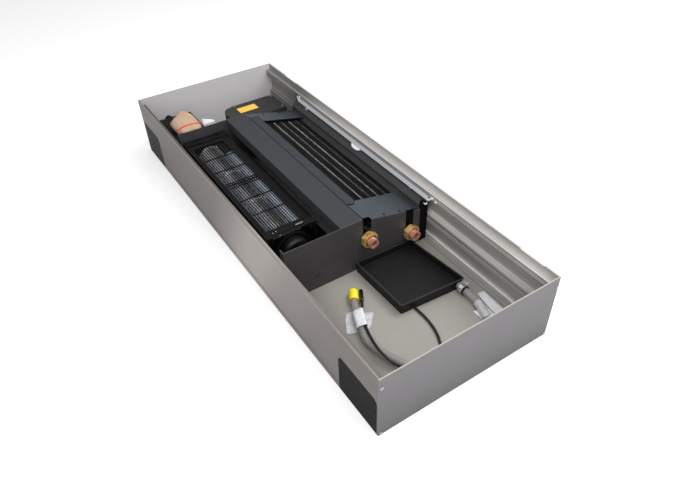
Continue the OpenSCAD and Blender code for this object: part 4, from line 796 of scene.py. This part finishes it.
def wrap_outline():
    """Points round hose and cable together, as a tight film lies."""
    points = []
    for n in range(WRAP_POINTS):
        turn = math.tau * n / WRAP_POINTS
        way = Vector((math.cos(turn), math.sin(turn)))
        reach = [Vector((across, height)) + way * radius for across, height, radius in WRAP_ROUNDS]
        far = max(reach, key=lambda p: p.dot(way))
        points.append((far.x, max(far.y, FLOOR_TOP + WRAP_LIFT)))
    return points


def add_wrap():
    """Film drawn along from its outline and creased, and its two flags on the floor."""
    bm = bmesh.new()
    edges = closed_ring(bm, [(0, y * MM, z * MM) for y, z in wrap_outline()])[1]
    for _ in range(WRAP_STEPS):
        made = bmesh.ops.extrude_edge_only(bm, edges=edges)["geom"]
        edges = only(bmesh.types.BMEdge, made)
        bmesh.ops.translate(bm, verts=only(bmesh.types.BMVert, made), vec=(WRAP_STEP * MM, 0, 0))
    middle = Vector(WRAP_MIDDLE) * MM
    for vert in bm.verts:
        out = (vert.co - middle) * Vector((0, 1, 1))
        crease = noise.noise(Vector((vert.co.x / CREASE_LENGTH, out.y / CREASE_WIDTH,
                                     out.z / CREASE_WIDTH)))
        vert.co += out.normalized() * (WRAP_SWELL + WRAP_CREASE * crease) * MM
        vert.co.z = max(vert.co.z, (FLOOR_TOP + WRAP_LEAST_LIFT) * MM)
    place = Matrix.Translation(bay_spot(WRAP_START)) @ Matrix.Rotation(WRAP_TURN, 4, "Z")
    bmesh.ops.transform(bm, matrix=place, verts=bm.verts[:])
    film = piece_from("film_wrap", bm, "wrap", replaces=("wrap_label",), sharp=60)
    given_wall(film, WRAP_THICK, 0.0)
    start = bay_spot(WRAP_START).to_2d()
    turn = Matrix.Rotation(WRAP_TURN, 2)
    flags = [[start + turn @ (Vector(p) * MM) for p in flag] for flag in WRAP_FLAGS]
    add_film("film_flags", flags, FLOOR_TOP + WRAP_LIFT, FLAG_WAVE, "film")


def add_film(name, outlines, height, wave, key, replaces=()):
    """Thin plastic cut to outlines in plan, lying in shallow waves."""
    bm = bmesh.new()
    for outline in outlines:
        bm.faces.new([bm.verts.new((p.x, p.y, height * MM)) for p in outline])
    bmesh.ops.triangulate(bm, faces=bm.faces[:])
    for cuts in FILM_CUTS:
        cut_finer(bm, cuts)
    for vert in bm.verts:
        vert.co.z += wave * MM * max(0.0, noise.noise(vert.co / FILM_WAVE_LENGTH) + 0.35)
    film = piece_from(name, bm, key, replaces=replaces, sharp=60)
    given_wall(film, FILM_THICK, 1.0)


def add_floor_labels():
    outlines = [[bay_spot((*p, 0)).to_2d() for p in corners] for corners in LABEL_CORNERS]
    add_film("plain_labels", outlines, FLOOR_TOP + LABEL_LIFT, LABEL_WAVE, "label",
             ("floor_labels",))
    tube("hose_tag", [bay_spot(p) for p in TAG_ROUTE], HOSE_RADIUS + TAG_GAP, FILM_THICK, "tag")


# ---- packet, band and folded sheets ----

PACKET_B, PACKET_Z = 71, 97.2
PACKET_MIDDLE = spot(95, PACKET_B, PACKET_Z)
PACKET_WAIST = ((-54, 13), (-43, 23.5), (-26, 29.5), (4, 30), (39, 28), (52, 17), (52, -15),
                (36, -29), (-10, -31))
PACKET_RINGS = ((-9.8, 0.72), (-8.2, 0.82), (-4, 0.96), (0, 1.0), (3.5, 0.95), (6.5, 0.84),
                (8.8, 0.7), (10.2, 0.5))
PACKET_GROWTH = 1.05
FOLD_LENGTH, FOLD_WIDTH = 0.045, 0.0065
FOLD_MIDDLE, FOLD_ENDS, FOLD_REACH = 0.35, 0.75, 0.05
DENT_SIZE, DENT_DEPTH = 0.022, 0.7
DENT_SHIFT = Vector((3.1, 0.4, 7.7))
PACKET_SWELL = 0.5
BAND_PLACES = (128.0, 132.6)
BAND_POINTS = 60
BAND_LIFT, BAND_THICK = 0.6, 1.1
RAY_START = 0.08


def next_ring(bm, faces, lift, ratio):
    made = bmesh.ops.extrude_face_region(bm, geom=faces)["geom"]
    verts = only(bmesh.types.BMVert, made)
    bmesh.ops.scale(bm, vec=(ratio, ratio, 1), verts=verts)
    bmesh.ops.translate(bm, verts=verts, vec=(0, 0, lift * MM))
    return only(bmesh.types.BMFace, made)


def add_packet():
    """Paper packet of small parts: crowned, creased along its length, one corner slanting."""
    bm = bmesh.new()
    foot, share = PACKET_RINGS[0]
    share *= PACKET_GROWTH
    corners = [bm.verts.new((x * share * MM, y * share * MM, foot * MM)) for x, y in PACKET_WAIST]
    faces = [bm.faces.new(corners)]
    for (low, small), (high, large) in zip(PACKET_RINGS, PACKET_RINGS[1:]):
        faces = next_ring(bm, faces, high - low, large / small)
    bmesh.ops.holes_fill(bm, edges=[edge for edge in bm.edges if edge.is_boundary])
    bmesh.ops.poke(bm, faces=[face for face in bm.faces if len(face.verts) > 4])
    bmesh.ops.recalc_face_normals(bm, faces=bm.faces[:])
    for cuts in (2, 1):
        cut_finer(bm, cuts)
        bmesh.ops.smooth_vert(bm, verts=bm.verts[:], factor=0.3, use_axis_x=True,
                              use_axis_y=True, use_axis_z=True)
    bm.normal_update()
    for vert in bm.verts:
        fold = noise.noise(Vector((vert.co.x / FOLD_LENGTH, vert.co.y / FOLD_WIDTH,
                                   vert.co.z / FOLD_WIDTH)))
        dent = noise.noise(vert.co / DENT_SIZE + DENT_SHIFT)
        ends = min(abs(vert.co.x) / FOLD_REACH, 1.0)
        out = (FOLD_MIDDLE + FOLD_ENDS * ends) * fold + DENT_DEPTH * dent + PACKET_SWELL
        vert.co += vert.normal * out * MM
        vert.co.z = max(vert.co.z, foot * MM)
    bmesh.ops.translate(bm, verts=bm.verts[:], vec=PACKET_MIDDLE)
    packet = piece_from("parts_packet", bm, "packet",
                        replaces=("accessory_packet",), sharp=70)
    return packet


def add_band(packet):
    """Rubber band drawn tight over the packet, found by rays on to its surface."""
    bpy.context.view_layer.update()
    skin = BVHTree.FromObject(packet, bpy.context.evaluated_depsgraph_get())
    bm = bmesh.new()
    turns = [math.tau * n / BAND_POINTS for n in range(BAND_POINTS)]
    ring, edges = closed_ring(bm, [(0, math.cos(turn), math.sin(turn)) for turn in turns])
    made = bmesh.ops.extrude_edge_only(bm, edges=edges)["geom"]
    other = only(bmesh.types.BMVert, made)
    for verts, place in zip((ring, other), BAND_PLACES):
        middle = spot(place, PACKET_B, PACKET_Z)
        for vert in verts:
            way = Vector((0, vert.co.y, vert.co.z)).normalized()
            hit = skin.ray_cast(middle + way * RAY_START, -way)[0]
            vert.co = hit + way * BAND_LIFT * MM
    band = piece_from("packet_band_red", bm, "band", replaces=("packet_band",),
                      sharp=80)
    given_wall(band, BAND_THICK, 0.0)
    rounded(band, 0.35)


PAPER_PLACE = (82, 112.6)
PAPER_FOOT = ((2, 34.7), (22, 39.7), (32, 37.7), (32, 28.7))
PAPER_RIM = ((0, 7.5), (19, 30), (30, 30.5), (30, 0))
PAPER_CENTRE = Vector((20, 17))
PAPER_HEIGHT = 84
PAPER_LEAVES = ((1.0, 0.0), (0.86, -0.9), (0.7, -1.8))
PAPER_THICK = 0.3
PAPER_CREASE, PAPER_BUCKLE = 0.02, 0.6


def add_paper():
    """Leaflet folded to a wedge: a creased cover, with two smaller leaves inside it."""
    bm = bmesh.new()
    a, b = PAPER_PLACE
    for shrink, drop in PAPER_LEAVES:
        tops, feet = [], []
        for corner, (fx, fy) in zip(PAPER_RIM, PAPER_FOOT):
            rim = PAPER_CENTRE + (Vector(corner) - PAPER_CENTRE) * shrink
            tops.append(bm.verts.new(spot(a + rim.x, b + rim.y,
                                          FLOOR_TOP + PAPER_HEIGHT + drop)))
            feet.append(bm.verts.new(spot(a + fx, b + fy, FLOOR_TOP + PAPER_THICK - drop)))
        bm.faces.new(tops)
        for n in range(len(tops) - 1):
            bm.faces.new((tops[n], tops[n + 1], feet[n + 1], feet[n]))
    cut_finer(bm, 5)
    for vert in bm.verts:
        buckle = noise.noise(vert.co / PAPER_CREASE) * PAPER_BUCKLE * MM
        vert.co += Vector((1, 1, 0.6)) * buckle
    sheets = piece_from("folded_sheets", bm, "paper", replaces=("folded_paper",),
                        sharp=30)
    given_wall(sheets, PAPER_THICK)


# ---- small fittings ----

FAN_B, FAN_Z = 78.0, 65.0
DISC_PLACES = (231, 350, 469)
BLADE_COUNT = 32
TAB_SIZE, TAB_RADIUS = (6.4, 2.1, 1.4), 29.7


def add_blade_glint_tabs():
    """White tabs on the rims of the impeller's discs: painted glints of the blade ends."""
    bm = bmesh.new()
    for a in DISC_PLACES:
        for n in range(BLADE_COUNT):
            tab = bmesh.new()
            block(tab, TAB_SIZE, Vector((0, 0, TAB_RADIUS * MM)), bevel=0.35)
            turn = Matrix.Rotation(math.tau * n / BLADE_COUNT, 4, "X")
            bmesh.ops.transform(tab, matrix=Matrix.Translation(spot(a, FAN_B, FAN_Z)) @ turn,
                                verts=tab.verts[:])
            merge_into(bm, tab)
    piece_from("blade_glint_tabs", bm, "white_tab", body="fan")


COMB_A, COMB_START, COMB_PITCH, COMB_TEETH = 611, 42.5, 3.4, 16
PEG_PLACES = ((598, 53), (612.5, 54), (600, 46))
PEG_PROFILE = [(0, 0), (1.3, 0), (1.3, 0.8), (0.9, 1.2), (0, 1.3)]
PEG_FOOT = 105


def add_fan_fittings():
    """Comb of terminals, latch and pegs on the fan's near moulded end."""
    bm = bmesh.new()
    block(bm, (8, 58, 1.2), spot(COMB_A, 68, 104.2))
    for n in range(COMB_TEETH):
        block(bm, (6.5, 1.5, 2.2), spot(COMB_A, COMB_START + COMB_PITCH * n, 105.4), bevel=0.4)
    piece_from("terminal_comb", bm, "fan_black")
    bm = bmesh.new()
    block(bm, (3.4, 16, 1.4), spot(602, 100.4, 105.9), bevel=0.5)
    piece_from("guard_latch", bm, "latch")
    bm = bmesh.new()
    for place in PEG_PLACES:
        turned(bm, PEG_PROFILE, spot(*place, PEG_FOOT), (0, 0, 1), 16)
    piece_from("guard_pegs", bm, "peg")


GLAND_PLACE = (2, 62, 70)
GLAND_PROFILE = [(0, 0.2), (9, 0.2), (9, 3.6), (8.4, 4.2), (7.4, 4.2), (7.4, 9), (6.6, 11),
                 (5, 13), (4.4, 13.4), (4.2, 17), (3.6, 17.6), (3.6, 24.4), (0, 24.4)]
RING_PLACE = (849.4, 306, 14.9)
RING_PROFILE = [(7.7, 0), (8.8, 0.3), (9.3, 1.2), (9.3, 2.2), (8.8, 3.1), (7.7, 3.4), (7.7, 0)]


def add_rubber_turning(name, profile, place):
    bm = bmesh.new()
    turned(bm, profile, spot(*place), (1, 0, 0), 32)
    piece_from(name, bm, "rubber")


# A dark strip laid as painted shade in the gap beside the centre cover, and the foam block by the
# wall.
GAP_SHADE_SIZE, GAP_SHADE_PLACE = (474, 2.2, 2), (438, 195.1, 119.9)
FOAM_SIZE, FOAM_PLACE = (6.5, 17.6, 100), (675.8, 342.6, 53)
FOAM_LONG_EDGE = 0.006
FOAM_PORES, FOAM_DEPTH = 0.006, 1.2


def add_gap_shade_and_foam():
    """Dark strip of painted shade in the gap between the centre cover and the strip, and foam
    between bulkhead and wall.
    """
    bm = bmesh.new()
    block(bm, GAP_SHADE_SIZE, spot(*GAP_SHADE_PLACE), bevel=0.4)
    piece_from("cover_gap_shade", bm, "rubber")
    bm = bmesh.new()
    block(bm, FOAM_SIZE, spot(*FOAM_PLACE), bevel=0.8)
    cut_finer(bm, 3)
    cut_finer(bm, 3, [edge for edge in bm.edges if edge.calc_length() > FOAM_LONG_EDGE])
    for vert in bm.verts:
        vert.co += Vector((1, 0.4, 0)) * noise.noise(vert.co / FOAM_PORES) * FOAM_DEPTH * MM
    piece_from("wall_foam", bm, "foam", sharp=60)


PUNCH_PLACE = (90.5, 37.5)
PUNCH_IN, PUNCH_OUT, PUNCH_THICK = 4.3, 5.5, 0.3
PUNCH_START, PUNCH_SWEEP = math.radians(190), math.radians(200)


def add_punch_slit_shade():
    """Half-punched round in the near bulkhead: a dark crescent on its face stands for the shade in
    its open slit.
    """
    bm = bmesh.new()
    corners = ((0, PUNCH_IN), (0, PUNCH_OUT), (PUNCH_THICK, PUNCH_OUT), (PUNCH_THICK, PUNCH_IN))
    face = bm.faces.new([bm.verts.new((out * MM, radius * MM, 0)) for out, radius in corners])
    bmesh.ops.spin(bm, geom=[face], cent=(0, 0, 0), axis=(1, 0, 0), angle=PUNCH_SWEEP, steps=20,
                   use_merge=False, use_duplicate=False)
    turn = Matrix.Rotation(PUNCH_START, 4, "X")
    bmesh.ops.transform(bm, matrix=Matrix.Translation(spot(NEAR_BULKHEAD, *PUNCH_PLACE)) @ turn,
                        verts=bm.verts[:])
    bmesh.ops.holes_fill(bm, edges=[edge for edge in bm.edges if edge.is_boundary])
    piece_from("punch_slit_shade", bm, "rubber")


# Spring clips of the rail: the path of each strip, and its width.
CLIP_STRIPS = (
    (((684, 341.2, 110), (689, 341.6, 111), (693, 342.6, 114), (695, 344.4, 117),
      (700, 345.2, 118)), 5),
    (((686, 341.2, 104), (688.5, 339.5, 102.4), (687, 336.6, 101.6), (683, 335.8, 102.6)), 3),
    (((182, 341.2, 113), (176, 341.8, 115), (171.5, 343.6, 117), (170, 345.4, 113)), 5),
)
CLIP_THICK = 0.8
WALL_CLIP_SIZE = (5, 2.0, 3.6)
WALL_CLIPS = ((707, 344.8, 114), (187, 342.4, 122.2), (176, 342.6, 118.6), (220, 341.2, 104.2))


def strip(bm, path, width):
    """Spring strip: an upright edge drawn along a path."""
    half = Vector((0, 0, width)) * MM / 2
    edges = [bm.edges.new((bm.verts.new(path[0] - half), bm.verts.new(path[0] + half)))]
    for here, there in zip(path, path[1:]):
        made = bmesh.ops.extrude_edge_only(bm, edges=edges)["geom"]
        edges = [edge for edge in only(bmesh.types.BMEdge, made)
                 if len(edge.link_faces) == 1 and all(v in made for v in edge.verts)]
        bmesh.ops.translate(bm, verts=only(bmesh.types.BMVert, made), vec=there - here)


def add_rail_clips():
    bm = bmesh.new()
    for path, width in CLIP_STRIPS:
        strip(bm, [spot(*p) for p in path], width)
    clips = piece_from("rail_clips", bm, "white_tab", sharp=50)
    given_wall(clips, CLIP_THICK, 0.0)
    rounded(clips, 0.25)
    bm = bmesh.new()
    for place in WALL_CLIPS:
        block(bm, WALL_CLIP_SIZE, spot(*place), bevel=0.6)
    piece_from("wall_clips", bm, "white_tab")


# ---- stage ----

FLOOR_REACH = 8.0
FLOOR_GAP = 0.0004
FLOOR_COLOUR = (0.86, 0.86, 0.86, 1)
FLOOR_GLOW = 0.3
WORLD_LEVEL = 0.46
# name, place, the point it is aimed at, size and power of each lamp
LAMPS = (
    ("window_softbox", (0.3, 1.2, 1.8), (-0.1, 0.0, 0.05), 1.1, 22.0),
    ("far_softbox", (0.5, -0.1, 1.3), (-0.5, 0.05, 0.05), 1.0, 9.0),
    ("near_softbox", (2.2, -0.9, 1.4), (0.3, 0.0, 0.06), 1.8, 20.0),
    ("front_softbox", (0.2, -2.0, 1.4), (0.0, -0.1, 0.06), 1.6, 9.0),
)


def pale_floor_material():
    """Matt white that glows a little for the camera alone, so that it lights nothing."""
    material = bpy.data.materials.new("pale_floor")
    material.use_nodes = True
    tree = material.node_tree
    tree.nodes.clear()
    new, link = tree.nodes.new, tree.links.new
    output = new("ShaderNodeOutputMaterial")
    matte = new("ShaderNodeBsdfDiffuse")
    matte.inputs["Color"].default_value = FLOOR_COLOUR
    glow = new("ShaderNodeEmission")
    both = new("ShaderNodeAddShader")
    rays = new("ShaderNodeLightPath")
    part = new("ShaderNodeMath")
    part.operation = "MULTIPLY"
    part.inputs[1].default_value = FLOOR_GLOW
    link(rays.outputs["Is Camera Ray"], part.inputs[0])
    link(part.outputs[0], glow.inputs["Strength"])
    link(matte.outputs[0], both.inputs[0])
    link(glow.outputs[0], both.inputs[1])
    link(both.outputs[0], output.inputs["Surface"])
    return material


def add_floor():
    bm = bmesh.new()
    bmesh.ops.create_grid(bm, x_segments=1, y_segments=1, size=FLOOR_REACH)
    bmesh.ops.translate(bm, verts=bm.verts, vec=(0, 0, -FLOOR_GAP))
    mesh_data = bpy.data.meshes.new("pale_floor")
    bm.to_mesh(mesh_data)
    bm.free()
    mesh_data.materials.append(pale_floor_material())
    floor = linked("pale_floor", mesh_data)


def set_world():
    """White for the camera, and a lower level as light on the object."""
    world = bpy.data.worlds.new("pale_room")
    bpy.context.scene.world = world
    world.use_nodes = True
    tree = world.node_tree
    background = tree.nodes["Background"]
    background.inputs["Color"].default_value = (1, 1, 1, 1)
    rays = tree.nodes.new("ShaderNodeLightPath")
    level = tree.nodes.new("ShaderNodeMapRange")
    level.inputs["To Min"].default_value = WORLD_LEVEL
    level.inputs["To Max"].default_value = 1.0
    tree.links.new(rays.outputs["Is Camera Ray"], level.inputs["Value"])
    tree.links.new(level.outputs["Result"], background.inputs["Strength"])


def add_lamp(name, place, aim, size, power):
    data = bpy.data.lights.new(name, "AREA")
    data.size = size
    data.energy = power
    turn = (aim - place).to_track_quat("-Z", "Y")
    linked(name, data).matrix_world = Matrix.Translation(place) @ turn.to_matrix().to_4x4()


def set_stage():
    add_floor()
    set_world()
    for name, place, aim, size, power in LAMPS:
        add_lamp(name, Vector(place), Vector(aim), size, power)
    bpy.context.scene.view_settings.view_transform = "Standard"


set_camera()
set_stage()
finish_nodes()
lay_lines()
add_wrap()
add_floor_labels()
add_band(add_packet())
add_paper()
add_blade_glint_tabs()
add_fan_fittings()
add_rubber_turning("supply_gland", GLAND_PROFILE, GLAND_PLACE)
add_rubber_turning("hose_ring", RING_PROFILE, RING_PLACE)
add_gap_shade_and_foam()
add_punch_slit_shade()
add_rail_clips()
